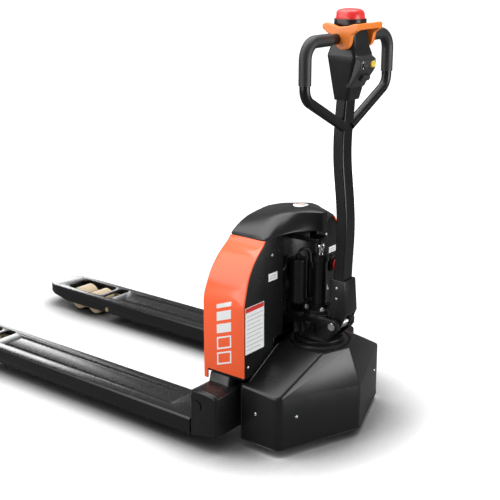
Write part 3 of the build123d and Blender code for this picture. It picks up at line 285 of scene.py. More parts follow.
def make_materials():
    """One finish for each slot of the record, and the finishes of the added pieces."""
    return {
        # Lighter edge colour: a painted highlight along the edges of the black steel.
        "black_steel": finish(
            "powder_black", (0.0085, 0.0087, 0.0092), 0.27, grain=(520, 0.9, 0.03), gloss=0.3,
            edge=0.0015, edge_wear_and_light_colour=(0.06, 0.06, 0.062), dust=0.015),
        # Lighter edge colour: a painted highlight along the edges of the black plastic.
        "black_plastic": finish(
            "moulded_black", (0.0085, 0.0088, 0.0095), 0.29, grain=(900, 0.3, 0.02), gloss=0.35,
            edge=0.003, edge_wear_and_light_colour=(0.05, 0.05, 0.053), dust=0.012),
        "grey_plastic": finish(
            "moulded_grey", (0.020, 0.020, 0.021), 0.40, grain=(1100, 0.2, 0.03), dust=0.02),
        # Darker edge colour: a painted shadow line round the strips' edges.
        "orange_panel": finish(
            "orange_paint", (1.0, 0.125, 0.034), 0.5, coat=0.55, coat_roughness=0.13, gloss=0.3,
            variation=0.03, grain=(300, 1.0, 0.008), smudge=0.05, dust=0.01,
            edge=0.0012, edge_wear_and_light_colour=(0.45, 0.035, 0.012)),
        "orange_plastic": finish(
            "moulded_orange", (0.98, 0.25, 0.035), 0.30, variation=0.05,
            grain=(900, 0.3, 0.02), dust=0.03),
        "red_plastic": finish(
            "moulded_red", (0.74, 0.03, 0.028), 0.38, variation=0.06, coat=0.1,
            grain=(900, 0.3, 0.015), dust=0.03),
        "yellow_plastic": finish(
            "moulded_yellow", (0.85, 0.62, 0.06), 0.34, variation=0.05,
            grain=(900, 0.3, 0.02), dust=0.03),
        "zinc": finish(
            "zinc_plate", (0.68, 0.69, 0.70), 0.28, metallic=1.0, variation=0.10,
            grain=(1400, 0.5, 0.02), dust=0.04),
        "chrome": finish(
            "hard_chrome", (0.78, 0.78, 0.79), 0.09, metallic=1.0, variation=0.02,
            grain=(1600, 0.2, 0.004), smudge=0.05, dust=0.02, streaks=(1, 1, 30)),
        "bare_steel": finish(
            "machined_steel", (0.46, 0.46, 0.47), 0.30, metallic=1.0, variation=0.08,
            grain=(1200, 0.4, 0.02), streaks=(1, 1, 25), dust=0.06),
        "castings": finish(
            "cast_iron_paint", (0.04, 0.041, 0.043), 0.5, variation=0.2,
            grain=(330, 1.2, 0.2), dust=0.08, edge=0.002, edge_wear_and_light_colour=(0.12, 0.12, 0.12)),
        "blackened_steel": finish(
            "blackened_steel", (0.07, 0.07, 0.072), 0.32, metallic=0.8, variation=0.15,
            grain=(900, 0.4, 0.03), dust=0.04, edge=0.001, edge_wear_and_light_colour=(0.3, 0.3, 0.3)),
        "bronze": finish(
            "turned_bronze", (0.62, 0.40, 0.17), 0.32, metallic=1.0, variation=0.1,
            streaks=(1, 1, 25)),
        "roller_pu": finish(
            "tan_polyurethane", (0.52, 0.40, 0.25), 0.42, variation=0.10,
            grain=(240, 0.8, 0.08), smudge=0.15, dust=0.35),
        "wheel_pu": finish(
            "dark_polyurethane", (0.06, 0.06, 0.065), 0.5, variation=0.15,
            grain=(240, 0.8, 0.10), smudge=0.15, dust=0.4),
        "rubber": finish(
            "soft_rubber", (0.014, 0.014, 0.015), 0.5, variation=0.12,
            grain=(1300, 0.3, 0.05), smudge=0.10, dust=0.02),
        "olive_steel": finish(
            "yellow_passivate", (0.42, 0.36, 0.20), 0.34, metallic=0.75, variation=0.22,
            grain=(600, 0.6, 0.03), dust=0.15, streaks=(1, 20, 20)),
        "label_white": finish(
            "label_film", (0.84, 0.85, 0.85), 0.38, variation=0.02, grain=(500, 0.5, 0.006),
            smudge=0.05, dust=0.02),
        "label_red": finish(
            "label_red_ink", (0.60, 0.03, 0.02), 0.38, variation=0.05,
            grain=(500, 0.5, 0.006), dust=0.02),
        "label_grey": finish(
            "label_grey_ink", (0.32, 0.33, 0.35), 0.40, variation=0.05,
            grain=(500, 0.5, 0.006), dust=0.02),
    }


MATERIALS = make_materials()


# ------------------------------------------------------------------ mesh helpers
WELD = 2e-5    # corners closer than this are one corner


def add_object(name, data):
    """An object of the scene for a mesh, curve, camera or lamp."""
    thing = bpy.data.objects.new(name, data)
    scene.collection.objects.link(thing)
    return thing


def add_mesh(name, bm):
    """An object made from a finished bmesh, which is freed."""
    mesh = bpy.data.meshes.new(name)
    bm.to_mesh(mesh)
    bm.free()
    return add_object(name, mesh)


def settle(thing):
    """Turns an object with modifiers into a plain mesh."""
    graph = bpy.context.evaluated_depsgraph_get()
    mesh = bpy.data.meshes.new_from_object(thing.evaluated_get(graph), depsgraph=graph)
    thing.modifiers.clear()
    thing.data = mesh


def smooth(thing, angle):
    """Smooth shading, with edges kept sharp above an angle in degrees."""
    thing.data.shade_smooth()
    thing.data.set_sharp_from_angle(angle=radians(angle))


def bevelled(thing, width, segments, angle):
    """Adds a bevel on the edges that turn by more than an angle in degrees."""
    bevel = thing.modifiers.new("round", "BEVEL")
    bevel.width = width
    bevel.segments = segments
    bevel.limit_method = "ANGLE"
    bevel.angle_limit = radians(angle)
    return bevel


def walled(thing, thickness):
    """Adds a wall on the inner side of a surface."""
    wall = thing.modifiers.new("wall", "SOLIDIFY")
    wall.thickness = thickness
    wall.offset = -1


def band(bm, first, second):
    """Closed band of faces between two rings of the same number of vertices."""
    count = len(first)
    for k in range(count):
        n = (k + 1) % count
        bm.faces.new((first[k], first[n], second[n], second[k]))


def hand_over(thing, body, slot, *replaced, material=None):
    """Gives a piece its finish and its body, and the CAD nodes that it stands for."""
    thing.data.materials.clear()
    thing.data.materials.append(MATERIALS[material or slot])
    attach(thing, body)
    if replaced:
        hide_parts(*replaced)
    return thing


def merged_copy(node, name):
    """A copy of a CAD node whose loose triangles are joined and its flat faces made whole."""
    thing = add_object(name, nodes[node].data.copy())
    bm = bmesh.new()
    bm.from_mesh(thing.data)
    bmesh.ops.remove_doubles(bm, verts=bm.verts, dist=WELD)
    bmesh.ops.dissolve_limit(bm, angle_limit=radians(0.5), verts=bm.verts, edges=bm.edges)
    bm.to_mesh(thing.data)
    bm.free()
    return thing


def round_edges(node, width):
    """Stands for a CAD node with its sharp edges rounded, and kept inside the node's box."""
    thing = merged_copy(node, f"{node}_shell")
    bevel = bevelled(thing, width, 3, 28)
    bevel.use_clamp_overlap = False
    bevel.miter_outer = "MITER_ARC"
    settle(thing)
    low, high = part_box(node)
    for vert in thing.data.vertices:
        vert.co = [min(max(vert.co[k], low[k]), high[k]) for k in range(3)]
    smooth(thing, 40)
    hand_over(thing, BODY_OF[node], SLOT_OF[node], node)


def sheet(name, rows):
    """Open surface through rows of points."""
    bm = bmesh.new()
    grid = [[bm.verts.new(p) for p in row] for row in rows]
    for lower, upper in zip(grid, grid[1:]):
        for k in range(len(lower) - 1):
            bm.faces.new((lower[k], lower[k + 1], upper[k + 1], upper[k]))
    bmesh.ops.remove_doubles(bm, verts=bm.verts, dist=1e-5)
    bmesh.ops.recalc_face_normals(bm, faces=bm.faces)
    return add_mesh(name, bm)


def mix(a, b, t):
    """Point a share t of the way from a to b."""
    return [x * (1 - t) + y * t for x, y in zip(a, b)]


def curve_at(points, t):
    """Point on a smooth curve (Catmull-Rom) through a list of points, t from 0 to 1."""
    place = min(t, 0.99999) * (len(points) - 1)
    k, f = int(place), place - int(place)
    p0, p1 = points[max(k - 1, 0)], points[k]
    p2, p3 = points[k + 1], points[min(k + 2, len(points) - 1)]
    return [
        0.5 * (2 * b + (c - a) * f + (2 * a - 5 * b + 4 * c - d) * f * f
               + (3 * b - a - 3 * c + d) * f ** 3)
        for a, b, c, d in zip(p0, p1, p2, p3)
    ]


def cap_shell():
    """Cap with a light band that turns from the strips into a blunt nose, and a creased top."""
    low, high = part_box("cap")
    front, nose = low.x, high.x
    half, floor_z = high.y, low.z
    # Stations from the strips to the nose: place along the truck, half width, height.
    brim = [
        (front, half - 0.005, 0), (front + 0.058, half - 0.002, 0), (front + 0.115, half, 0),
        (front + 0.132, 0.130, 0.0055), (front + 0.152, 0.084, 0.0095),
        (front + 0.178, 0.038, 0.0075), (nose - 0.001, 0.011, 0.003),
    ]
    brow = [
        (front, 0.088, 0.0345), (front + 0.044, 0.087, 0.0420), (front + 0.090, 0.082, 0.0495),
        (front + 0.124, 0.063, 0.0540), (front + 0.150, 0.044, 0.0567),
        (front + 0.178, 0.023, 0.0565), (nose - 0.0015, 0.0105, 0.0555),
    ]
    ridge = [
        (front, 0, 0.0437), (front + 0.044, 0, 0.0535), (front + 0.090, 0, 0.0630),
        (front + 0.124, 0, 0.0657), (front + 0.150, 0, 0.0640), (front + 0.178, 0, 0.0602),
        (nose, 0, 0.0562),
    ]
    bulge = [(0.0055,), (0.005,), (0.003,), (0.001,), (0.0,), (0.0,), (0.0,)]
    top_of_cap = high.z - floor_z
    rows, stations, side_cells, top_cells = [], 48, 8, 6
    for i in range(stations + 1):
        t = i / stations
        a, b, c = curve_at(brim, t), curve_at(brow, t), curve_at(ridge, t)
        swell = curve_at(bulge, t)[0]
        half_row = []
        for k in range(side_cells + 1):
            v = k / side_cells
            p = mix(a, b, v)
            out = swell * 4 * v * (1 - v)
            half_row.append((p[0], p[1] + out * 0.72, p[2] + out * 0.55))
        for k in range(1, top_cells + 1):
            v = k / top_cells
            p = mix(b, c, v)
            crown = 0.0012 * 4 * v * (1 - v)
            half_row.append((p[0], p[1], p[2] + crown))
        row = [(x, -min(y, half), floor_z + min(z, top_of_cap)) for x, y, z in half_row]
        row += [(x, -y, z) for x, y, z in reversed(row[:-1])]
        rows.append(row)
    thing = sheet("cap_shell", rows)
    bm = bmesh.new()
    bm.from_mesh(thing.data)
    edge_loops = [e for e in bm.edges if e.is_boundary]
    for x in (front, nose):
        loop = [e for e in edge_loops if all(abs(v.co.x - x) < 0.002 for v in e.verts)]
        bmesh.ops.holes_fill(bm, edges=loop)
        verts = sorted({v for e in loop for v in e.verts}, key=lambda v: v.co.y)
        if len(loop) > 2 and not any(len(f.verts) > 8 and all(v in verts for v in f.verts)
                                     for f in bm.faces):
            bmesh.ops.contextual_create(bm, geom=verts)
    bmesh.ops.recalc_face_normals(bm, faces=bm.faces)
    bm.to_mesh(thing.data)
    bm.free()
    walled(thing, 0.003)
    bevelled(thing, 0.0012, 2, 24)
    settle(thing)
    smooth(thing, 26)
    return hand_over(thing, "chassis", "black_plastic", "cap")


def rounded_ring(x0, x1, half, corner, z, turns=12):
    """Points round a rectangle with round corners, at one height."""
    points = []
    for cx, cy, start in (
        (x1 - corner, half - corner, 0), (x0 + corner, half - corner, 90),
        (x0 + corner, corner - half, 180), (x1 - corner, corner - half, 270),
    ):
        for k in range(turns + 1):
            angle = radians(start + 90 * k / turns)
            points.append((cx + corner * cos(angle), cy + corner * sin(angle), z))
    return points


def lofted(name, rings):
    """Closed solid through rings of points."""
    bm = bmesh.new()
    loops = [[bm.verts.new(p) for p in ring] for ring in rings]
    for lower, upper in zip(loops, loops[1:]):
        band(bm, lower, upper)
    bm.faces.new(loops[0][::-1])
    bm.faces.new(loops[-1])
    bmesh.ops.recalc_face_normals(bm, faces=bm.faces)
    return add_mesh(name, bm)


def head_shell():
    """Tiller head: wide shoulders, drawn in above them and towards the tube."""
    low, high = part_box("head_body")
    x0, x1, half = low.x, high.x, high.y
    rings = []
    # Height of each ring, then how far it is drawn in at the front, the rear and the sides.
    for z, front, rear, wide, corner in (
        (low.z, 0.015, 0.028, 0.015, 0.008), (low.z + 0.004, 0.0145, 0.026, 0.014, 0.009),
        (low.z + 0.030, 0.011, 0.020, 0.010, 0.010), (low.z + 0.065, 0.007, 0.011, 0.005, 0.010),
        (low.z + 0.100, 0.002, 0.003, 0.0015, 0.010), (low.z + 0.114, 0.0, 0.0, 0.0, 0.010),
        (low.z + 0.119, 0.0005, 0.0005, 0.0005, 0.010), (low.z + 0.134, 0.005, 0.006, 0.003, 0.010),
        (low.z + 0.139, 0.0062, 0.0075, 0.004, 0.010), (low.z + 0.165, 0.008, 0.011, 0.0065, 0.010),
        (high.z, 0.009, 0.013, 0.009, 0.010),
    ):
        rings.append(rounded_ring(x0 + front, x1 - rear, half - wide, corner, z))
    thing = lofted("head_shell", rings)
    smooth(thing, 21)
    hand_over(thing, "tiller", "black_plastic", "head_body")


def cover_shell():
    """Wedge on the operator's side of the head, its light top running to a sharp brow."""
    low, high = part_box("head_cover")
    profile = [
        (high.x - 0.046, high.z), (high.x - 0.020, high.z - 0.001), (high.x - 0.003, high.z - 0.0125),
        (high.x, high.z - 0.0165), (high.x - 0.0035, high.z - 0.040),
        (high.x - 0.029, high.z - 0.077), (high.x - 0.034, low.z), (high.x - 0.046, low.z),
    ]
    inset = 0.001
    rings = [
        [(x, y, z) for x, z in profile] for y in (-high.y + inset, high.y - inset)
    ]
    thing = lofted("cover_shell", rings)
    bevelled(thing, 0.0035, 4, 20)
    settle(thing)
    smooth(thing, 25)
    hand_over(thing, "tiller", "grey_plastic", "head_cover")


def press_button(node, slot):
    """Oval push button with a dished crown, in place of a plain switch."""
    low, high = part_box(node)
    middle = (low + high) / 2
    wide, tall = (high.y - low.y) / 2, (high.z - low.z) / 2 * 0.78
    turns = 36
    rings = []
    for x, shrink in (
        (low.x, 0.0), (high.x - 0.0035, 0.0), (high.x - 0.0012, 0.0009), (high.x, 0.0028),
        (high.x - 0.0006, 0.0052), (high.x - 0.0012, 0.0075),
    ):
        ring = []
        for k in range(turns):
            angle = 2 * pi * k / turns
            ring.append((x, middle.y + (wide - shrink) * cos(angle),
                         middle.z + (tall - shrink) * sin(angle)))
        rings.append(ring)
    thing = lofted(f"{node}_cap", rings)
    smooth(thing, 50)
    hand_over(thing, BODY_OF[node], slot, node)


def throttle_wings():
    """Butterfly throttle: a rounded ear each side of the head, joined by a bar."""
    low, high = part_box("throttle")
    pivot_x, pivot_z, boss = low.x + 0.0815, low.z + 0.0285, 0.0235
    outline = [
        (pivot_x + boss * cos(radians(a)), pivot_z + boss * sin(radians(a)))
        for a in range(-180, 1, 15)
    ]
    outline += [
        (pivot_x + 0.0265, pivot_z + 0.014), (high.x - 0.0015, high.z - 0.017),
        (high.x - 0.0008, high.z - 0.004), (high.x - 0.005, high.z - 0.0008),
        (high.x - 0.014, high.z - 0.002), (pivot_x + 0.016, high.z - 0.0065),
        (pivot_x + 0.002, high.z - 0.0085), (pivot_x - 0.014, high.z - 0.0105),
        (pivot_x - 0.034, high.z - 0.0045), (pivot_x - 0.052, high.z - 0.001),
        (pivot_x - 0.0615, high.z - 0.006), (pivot_x - 0.0605, high.z - 0.0155),
        (pivot_x - 0.047, high.z - 0.0245), (pivot_x - 0.0335, high.z - 0.034),
    ]
    bm = bmesh.new()
    for sign, _ in SIDES:
        inner, outer = sign * (high.y - 0.0165), sign * (high.y - 0.0015)
        plates = [[bm.verts.new((x, y, z)) for x, z in outline] for y in (inner, outer)]
        band(bm, *plates)
        bm.faces.new(plates[0])
        bm.faces.new(plates[1])
    x0, x1 = high.x - 0.0105, high.x - 0.001
    z0, z1 = high.z - 0.0165, high.z - 0.0015
    reach = high.y - 0.006
    ends = [
        [bm.verts.new((x, y, z)) for x, z in ((x0, z0), (x1, z0), (x1, z1), (x0, z1))]
        for y in (-reach, reach)
    ]
    band(bm, *ends)
    bm.faces.new(ends[0])
    bm.faces.new(ends[1])
    bmesh.ops.recalc_face_normals(bm, faces=bm.faces)
    thing = add_mesh("throttle_wings", bm)
    remesh = thing.modifiers.new("cells", "REMESH")
    remesh.mode = "VOXEL"
    remesh.voxel_size = 0.0013
    relax = thing.modifiers.new("relax", "SMOOTH")
    relax.factor = 0.5
    relax.iterations = 9
    settle(thing)
    thing.data.shade_smooth()
    hand_over(thing, "throttle", "orange_plastic", "throttle")


def reversing_button():
    """Fat red button with a nearly flat, softly crowned top."""
    low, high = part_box("belly_button")
    rings = []
    for z, inset in (
        (low.z, 0.001), (low.z + 0.002, 0.0002), (low.z + 0.010, 0.0), (low.z + 0.018, 0.0008),
        (low.z + 0.023, 0.0026), (low.z + 0.0265, 0.0056), (low.z + 0.0285, 0.0095),
        (low.z + 0.0298, 0.0145), (low.z + 0.0305, 0.020), (high.z, 0.026),
    ):
        rings.append(rounded_ring(low.x + inset, high.x - inset, high.y - inset,
                                  max(0.027 - 0.75 * inset, 0.005), z))
    thing = lofted("reversing_button", rings)
    smooth(thing, 60)
    hand_over(thing, "belly", "red_plastic", "belly_button")


# ------------------------------------------------------------------ labels and printed shapes
def printed(name, node, outline, slot, material, normal_axis, side, lift=0.00025, cells=10,
            surface=None):
    """A thin film whose flat outline is laid along one axis on a piece, or on its new surface."""
    target = (surface or nodes[node]).data
    far = 1.0 * side
    tree = BVHTree.FromPolygons(
        [v.co for v in target.vertices], [p.vertices for p in target.polygons]
    )
    bm = bmesh.new()
    corners = [bm.verts.new((u, v, 0)) for u, v in outline]
    bm.faces.new(corners)
    lows = [min(p[k] for p in outline) for k in (0, 1)]
    highs = [max(p[k] for p in outline) for k in (0, 1)]
    for k in (0, 1):
        for step in range(1, cells):
            place = [0, 0, 0]
            place[k] = lows[k] + (highs[k] - lows[k]) * step / cells
            aim = [0, 0, 0]
            aim[k] = 1
            everything = bm.verts[:] + bm.edges[:] + bm.faces[:]
            bmesh.ops.bisect_plane(bm, geom=everything, plane_co=place, plane_no=aim, dist=1e-7)
    for vert in bm.verts:
        u, v = vert.co.x, vert.co.y
        if normal_axis == "y":
            start, way = Vector((u, far, v)), Vector((0, -side, 0))
        elif normal_axis == "x":
            start, way = Vector((far, u, v)), Vector((-side, 0, 0))
        else:
            start, way = Vector((u, v, far)), Vector((0, 0, -side))
        hit, normal, _, _ = tree.ray_cast(start, way)
        if normal.dot(way) > 0:
            normal = -normal
        vert.co = hit + normal * lift
    bm.normal_update()
    average = sum((f.normal for f in bm.faces), Vector())
    if average.dot(way) > 0:
        bmesh.ops.reverse_faces(bm, faces=bm.faces)
    thing = add_mesh(name, bm)
    thing.data.shade_smooth()
    hand_over(thing, BODY_OF[node], slot, material=material)


def rectangle(u0, v0, u1, v1):
    """Outline of a rectangle between two corners."""
    return [(u0, v0), (u1, v0), (u1, v1), (u0, v1)]


def strip_marks():
    """Slanted bars and hollow boxes on both orange strips: a plain racing mark, no letters."""
    low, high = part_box("strip_left")
    front, rear = low.x + 0.047, low.x + 0.097
    slant, line = 0.018, 0.0045
    # Height of each mark's foot above the floor, and how tall it is.
    hollow = ((0.226, 0.036), (0.271, 0.036))
    solid = ((0.318, 0.026), (0.354, 0.026), (0.390, 0.012))

    def bar(name, side, x0, x1, floor, tall, start=0.0):
        rise = slant / (rear - front)
        a, b = floor + start + (x0 - front) * rise, floor + start + (x1 - front) * rise
        outline = [(x0, a), (x1, b), (x1, b + tall), (x0, a + tall)]
        printed(name, f"strip_{'left' if side < 0 else 'right'}", outline, "orange_panel",
                "label_white", "y", side, cells=8)

    for side, name in SIDES:
        for number, (floor, tall) in enumerate(hollow):
            mark = f"strip_box_{name}_{number}"
            bar(f"{mark}_foot", side, front, rear, floor, line)
            bar(f"{mark}_head", side, front, rear, floor + tall - line, line)
            bar(f"{mark}_front", side, front, front + line, floor + line, tall - 2 * line)
            bar(f"{mark}_rear", side, rear - line, rear, floor + line, tall - 2 * line)
        for number, (floor, tall) in enumerate(solid):
            bar(f"strip_bar_{name}_{number}", side, front, rear, floor, tall)


def plate_with_rules(name, node, y0, z0, y1, z1, header, rules):
    """A film label on the rear wall: a coloured head band and a few ruled lines, no letters."""
    printed(f"{name}_film", node, rectangle(y0, z0, y1, z1), "black_plastic", "label_white",
            "x", 1)
    top = z1 - 0.0015
    if header:
        printed(f"{name}_band", node, rectangle(y0 + 0.0015, top - header, y1 - 0.0015, top),
                "red_plastic", "label_red", "x", 1, lift=0.0004)
    pitch = (top - header - z0) / (rules + 1)
    for row in range(rules):
        line = top - header - pitch * (row + 1)
        short = 0.010 if row % 3 == 2 else 0.0
        printed(f"{name}_rule_{row}", node,
                rectangle(y0 + 0.006, line - 0.0008, y1 - 0.006 - short, line + 0.0008),
                "black_plastic", "label_grey", "x", 1, lift=0.0004, cells=2)


def cap_disc(shell):
    """Round sticker with one band on top of the cap."""
    low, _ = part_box("cap")
    centre, radius = low.x + 0.116, 0.0215
    ring = [
        (centre + radius * cos(2 * pi * k / 40), radius * sin(2 * pi * k / 40))
        for k in range(40)
    ]
    printed("cap_sticker", "cap", ring, "black_plastic", "label_white", "z", 1, lift=0.0004,
            surface=shell)
    printed("cap_sticker_band", "cap",
            rectangle(centre - 0.016, -0.003, centre + 0.016, 0.003),
            "red_plastic", "label_red", "z", 1, lift=0.0006, surface=shell)


# ------------------------------------------------------------------ fasteners by Geometry Nodes
def lathe(name, profile, socket=None):
    """Closed turned shape about +Z from (radius, height) points; a socket is a sunk hexagon
    given by its radius and depth."""
    turns = 24
    bm = bmesh.new()
    rings = []
    for radius, height in profile:
        rings.append([
            bm.verts.new((radius * cos(2 * pi * k / turns), radius * sin(2 * pi * k / turns), height))
            for k in range(turns)
        ])
    for lower, upper in zip(rings, rings[1:]):
        band(bm, lower, upper)
    bm.faces.new(rings[0][::-1])
    last, top = rings[-1], profile[-1][1]
    if socket:
        radius, depth = socket
        step = turns // 6
        rim, base = [], []
        for k in range(turns):
            a0 = 2 * pi * (k // step * step) / turns
            a1 = 2 * pi * ((k // step + 1) * step) / turns
            t = (k % step) / step
            x = radius * ((1 - t) * cos(a0) + t * cos(a1))
            y = radius * ((1 - t) * sin(a0) + t * sin(a1))
            rim.append(bm.verts.new((x, y, top)))
            base.append(bm.verts.new((x * 0.96, y * 0.96, top - depth)))
        for k in range(turns):
            n = (k + 1) % turns
            bm.faces.new((last[k], last[n], rim[n], rim[k]))
            bm.faces.new((rim[k], rim[n], base[n], base[k]))
        bm.faces.new(base)
    else:
        bm.faces.new(last)
    return add_mesh(name, bm)


def fastener_tree():
    """Geometry Nodes: sets a template head on each point, facing along its normal."""
    tree = bpy.data.node_groups.new("fasteners", "GeometryNodeTree")
    tree.interface.new_socket("Geometry", in_out="OUTPUT", socket_type="NodeSocketGeometry")
    for label, kind in (
        ("Points", "NodeSocketGeometry"), ("Head", "NodeSocketObject"),
        ("Size", "NodeSocketFloat"), ("Turn Seed", "NodeSocketInt"),
        ("Finish", "NodeSocketMaterial"),
    ):
        tree.interface.new_socket(label, in_out="INPUT", socket_type=kind)
    start, end = tree.nodes.new("NodeGroupInput"), tree.nodes.new("NodeGroupOutput")
    head = tree.nodes.new("GeometryNodeObjectInfo")
    way = tree.nodes.new("GeometryNodeInputNamedAttribute")
    way.data_type = "FLOAT_VECTOR"
    way.inputs["Name"].default_value = "facing"
    align = tree.nodes.new("FunctionNodeAlignRotationToVector")
    align.axis = "Z"
    spin = tree.nodes.new("FunctionNodeRotateRotation")
    spin.rotation_space = "LOCAL"
    chance = tree.nodes.new("FunctionNodeRandomValue")
    chance.inputs["Max"].default_value = 1.0
    turn = tree.nodes.new("FunctionNodeAxisAngleToRotation")
    place = tree.nodes.new("GeometryNodeInstanceOnPoints")
    real = tree.nodes.new("GeometryNodeRealizeInstances")
    paint = tree.nodes.new("GeometryNodeSetMaterial")
    link = tree.links.new
    link(start.outputs["Head"], head.inputs["Object"])
    link(way.outputs["Attribute"], align.inputs["Vector"])
    link(align.outputs["Rotation"], spin.inputs["Rotation"])
    link(start.outputs["Turn Seed"], chance.inputs["Seed"])
    link(chance.outputs[1], turn.inputs["Angle"])
    link(turn.outputs["Rotation"], spin.inputs["Rotate By"])
    link(start.outputs["Points"], place.inputs["Points"])
    link(head.outputs["Geometry"], place.inputs["Instance"])
    link(spin.outputs["Rotation"], place.inputs["Rotation"])
    link(start.outputs["Size"], place.inputs["Scale"])
    link(place.outputs["Instances"], real.inputs["Geometry"])
    link(real.outputs["Geometry"], paint.inputs["Geometry"])
    link(start.outputs["Finish"], paint.inputs["Material"])
    link(paint.outputs["Geometry"], end.inputs["Geometry"])
    return tree


def set_inputs(modifier, **values):
    """Sets a Geometry Nodes modifier's inputs by name."""
    for item in modifier.node_group.interface.items_tree:
        if item.item_type == "SOCKET" and item.in_out == "INPUT" and item.name in values:
            modifier[item.identifier] = values[item.name]


def fasteners(name, spots, head, body, slot, *replaced, size=1.0):
    """One piece with a fastener at each (place, facing) pair."""
    mesh = bpy.data.meshes.new(name)
    mesh.from_pydata([place for place, _ in spots], [], [])
    facing = mesh.attributes.new("facing", "FLOAT_VECTOR", "POINT")
    for entry, (_, way) in zip(facing.data, spots):
        entry.vector = way
    thing = add_object(name, mesh)
    modifier = thing.modifiers.new("heads", "NODES")
    modifier.node_group = FASTENERS
    set_inputs(modifier, Head=head, Size=size, Finish=MATERIALS[slot], **{"Turn Seed": 3})
    settle(thing)
    smooth(thing, 40)
    hand_over(thing, body, slot, *replaced)


def islands(node):
    """Centre, lowest height and points of each separate solid of a CAD node."""
    bm = bmesh.new()
    bm.from_mesh(nodes[node].data)
    bmesh.ops.remove_doubles(bm, verts=bm.verts, dist=WELD)
    left, found = set(bm.verts), []
    while left:
        stack, group = [left.pop()], []
        while stack:
            vert = stack.pop()
            group.append(vert.co.copy())
            for edge in vert.link_edges:
                other = edge.other_vert(vert)
                if other in left:
                    left.remove(other)
                    stack.append(other)
        low = Vector([min(c[k] for c in group) for k in range(3)])
        high = Vector([max(c[k] for c in group) for k in range(3)])
        found.append(((low + high) / 2, low.z, group))
    bm.free()
    return sorted(found, key=lambda item: tuple(round(v, 4) for v in item[0]))


def thin_way(group):
    """Level direction in which a flat disc of points is thinnest."""
    best, way, steps = 9.0, Vector((0, 0, 1)), 180
    for k in range(steps):
        angle = 2 * pi * k / steps
        trial = Vector((cos(angle), sin(angle), 0))
        spread = [c.dot(trial) for c in group]
        thickness = max(spread) - min(spread)
        if thickness < best:
            best, way = thickness, trial
    return way


def all_fasteners():
    """Screws and bolts seen on the truck."""
    button = lathe(
        "button_head",
        [(0.0050, 0), (0.0051, 0.0004), (0.0047, 0.0013), (0.0038, 0.0022), (0.0029, 0.0026)],
        (0.0022, 0.0014),
    )
    for node, middle in (("skirt_screws", Vector((0.5, 0, 0))), ("housing_screws", None)):
        spots = []
        for centre, _, group in islands(node):
            way = thin_way(group) if middle else Vector((1, 0, 0))
            if middle and way.dot(centre - middle) < 0:
                way = -way
            spots.append((centre - way * 0.0013, way))
        fasteners(f"{node}_heads", spots, button, BODY_OF[node], "zinc", node)
    bolt = lathe(
        "hex_head",
        [(0.0088, 0), (0.0088, 0.0012), (0.0074, 0.0013), (0.0075, 0.0052), (0.0068, 0.0060),
         (0.0040, 0.0062), (0.0040, 0.0084), (0.0034, 0.0088)],
    )
    spots = [(Vector((c.x, c.y, foot)), Vector((0, 0, 1)))
             for c, foot, _ in islands("cylinder_bolts")]
    fasteners("cylinder_bolt_heads", spots, bolt, "steer", "zinc", "cylinder_bolts")
    low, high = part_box("head_cover")
    spots = [(Vector((high.x - 0.0004, y, z)), Vector((1, 0, 0)))
             for y in (low.y + 0.009, high.y - 0.009) for z in (high.z - 0.034, high.z - 0.019)]
    fasteners("cover_screws", spots, button, "tiller", "zinc", size=0.55)
    low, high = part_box("tiller_socket")
    middle_x = (low.x + high.x) / 2 - 0.004
    spots = [(Vector((middle_x, low.y - 0.0001, z)), Vector((0, -1, 0)))
             for z in (high.z - 0.022, high.z - 0.052)]
    spots += [(Vector((place.x, -place.y, place.z)), Vector((0, 1, 0))) for place, _ in spots]
    fasteners("socket_screws", spots, button, "tiller", "zinc", size=0.8)
    for template in (button, bolt):
        bpy.data.objects.remove(template)


# ------------------------------------------------------------------ hoses and small details
def hose(name, points):
    """Smooth round rubber hose of the drive unit, through listed points."""
    curve = bpy.data.curves.new(name, "CURVE")
    curve.dimensions = "3D"
    curve.bevel_depth = 0.0042
    curve.bevel_resolution = 5
    curve.use_fill_caps = True
    curve.resolution_u = 8
    spline = curve.splines.new("NURBS")
    spline.points.add(len(points) - 1)
    for point, place in zip(spline.points, points):
        point.co = (*place, 1)
    spline.order_u = 3
    spline.use_endpoint_u = True
    thing = add_object(name, curve)
    graph = bpy.context.evaluated_depsgraph_get()
    mesh = bpy.data.meshes.new_from_object(thing.evaluated_get(graph), depsgraph=graph)
    bpy.data.objects.remove(thing)
    made = add_object(name, mesh)
    smooth(made, 50)
    hand_over(made, "steer", "rubber")


def hydraulic_lines():
    """Short hoses between the oil tank, the pump motor and the cylinder."""
    tank_low, tank_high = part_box("oil_tank")
    pump_low, pump_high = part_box("pump_motor")
    barrel_low, barrel_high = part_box("cylinder_barrel")
    tank = (tank_low + tank_high) / 2
    pump = (pump_low + pump_high) / 2
    barrel = (barrel_low + barrel_high) / 2
    hose("tank_hose", [
        (tank.x, tank.y, tank_high.z - 0.004), (tank.x, tank.y, tank_high.z + 0.008),
        (tank.x + 0.006, tank.y + 0.016, tank_high.z + 0.014),
        (pump.x, pump.y - 0.010, tank_high.z + 0.004),
        (pump.x, pump.y, pump_high.z + 0.016), (pump.x, pump.y, pump_high.z - 0.002),
    ])
    port = barrel_low.z + 0.042
    side = barrel.y + 0.028
    hose("pressure_hose", [
        (barrel.x, side, port), (barrel.x, side + 0.008, port),
        (barrel.x - 0.012, side + 0.014, port + 0.006),
        (pump.x + 0.020, side + 0.012, port + 0.012),
        (pump.x + 0.018, pump.y + 0.002, port + 0.012),
    ])


def carried_over():
    """Better finishes for the CAD nodes whose own meshes are shown."""
    for node, slot in SLOT_OF.items():
        for entry in nodes[node].material_slots:
            entry.material = MATERIALS[DARKER.get(node, slot)]


# ------------------------------------------------------------------ camera, light, floor
def camera():
    """Camera behind the near rear corner, looking down and along the truck."""
    looking_down, turned = 16.9, 38.1
    data = bpy.data.cameras.new("camera")
    data.lens = 74.1
    data.sensor_width = 36
    cam = add_object("camera", data)
    cam.location = (2.1507, -2.2592, 1.3472)
    cam.rotation_euler = (radians(90 - looking_down), 0, radians(turned))
    scene.camera = cam


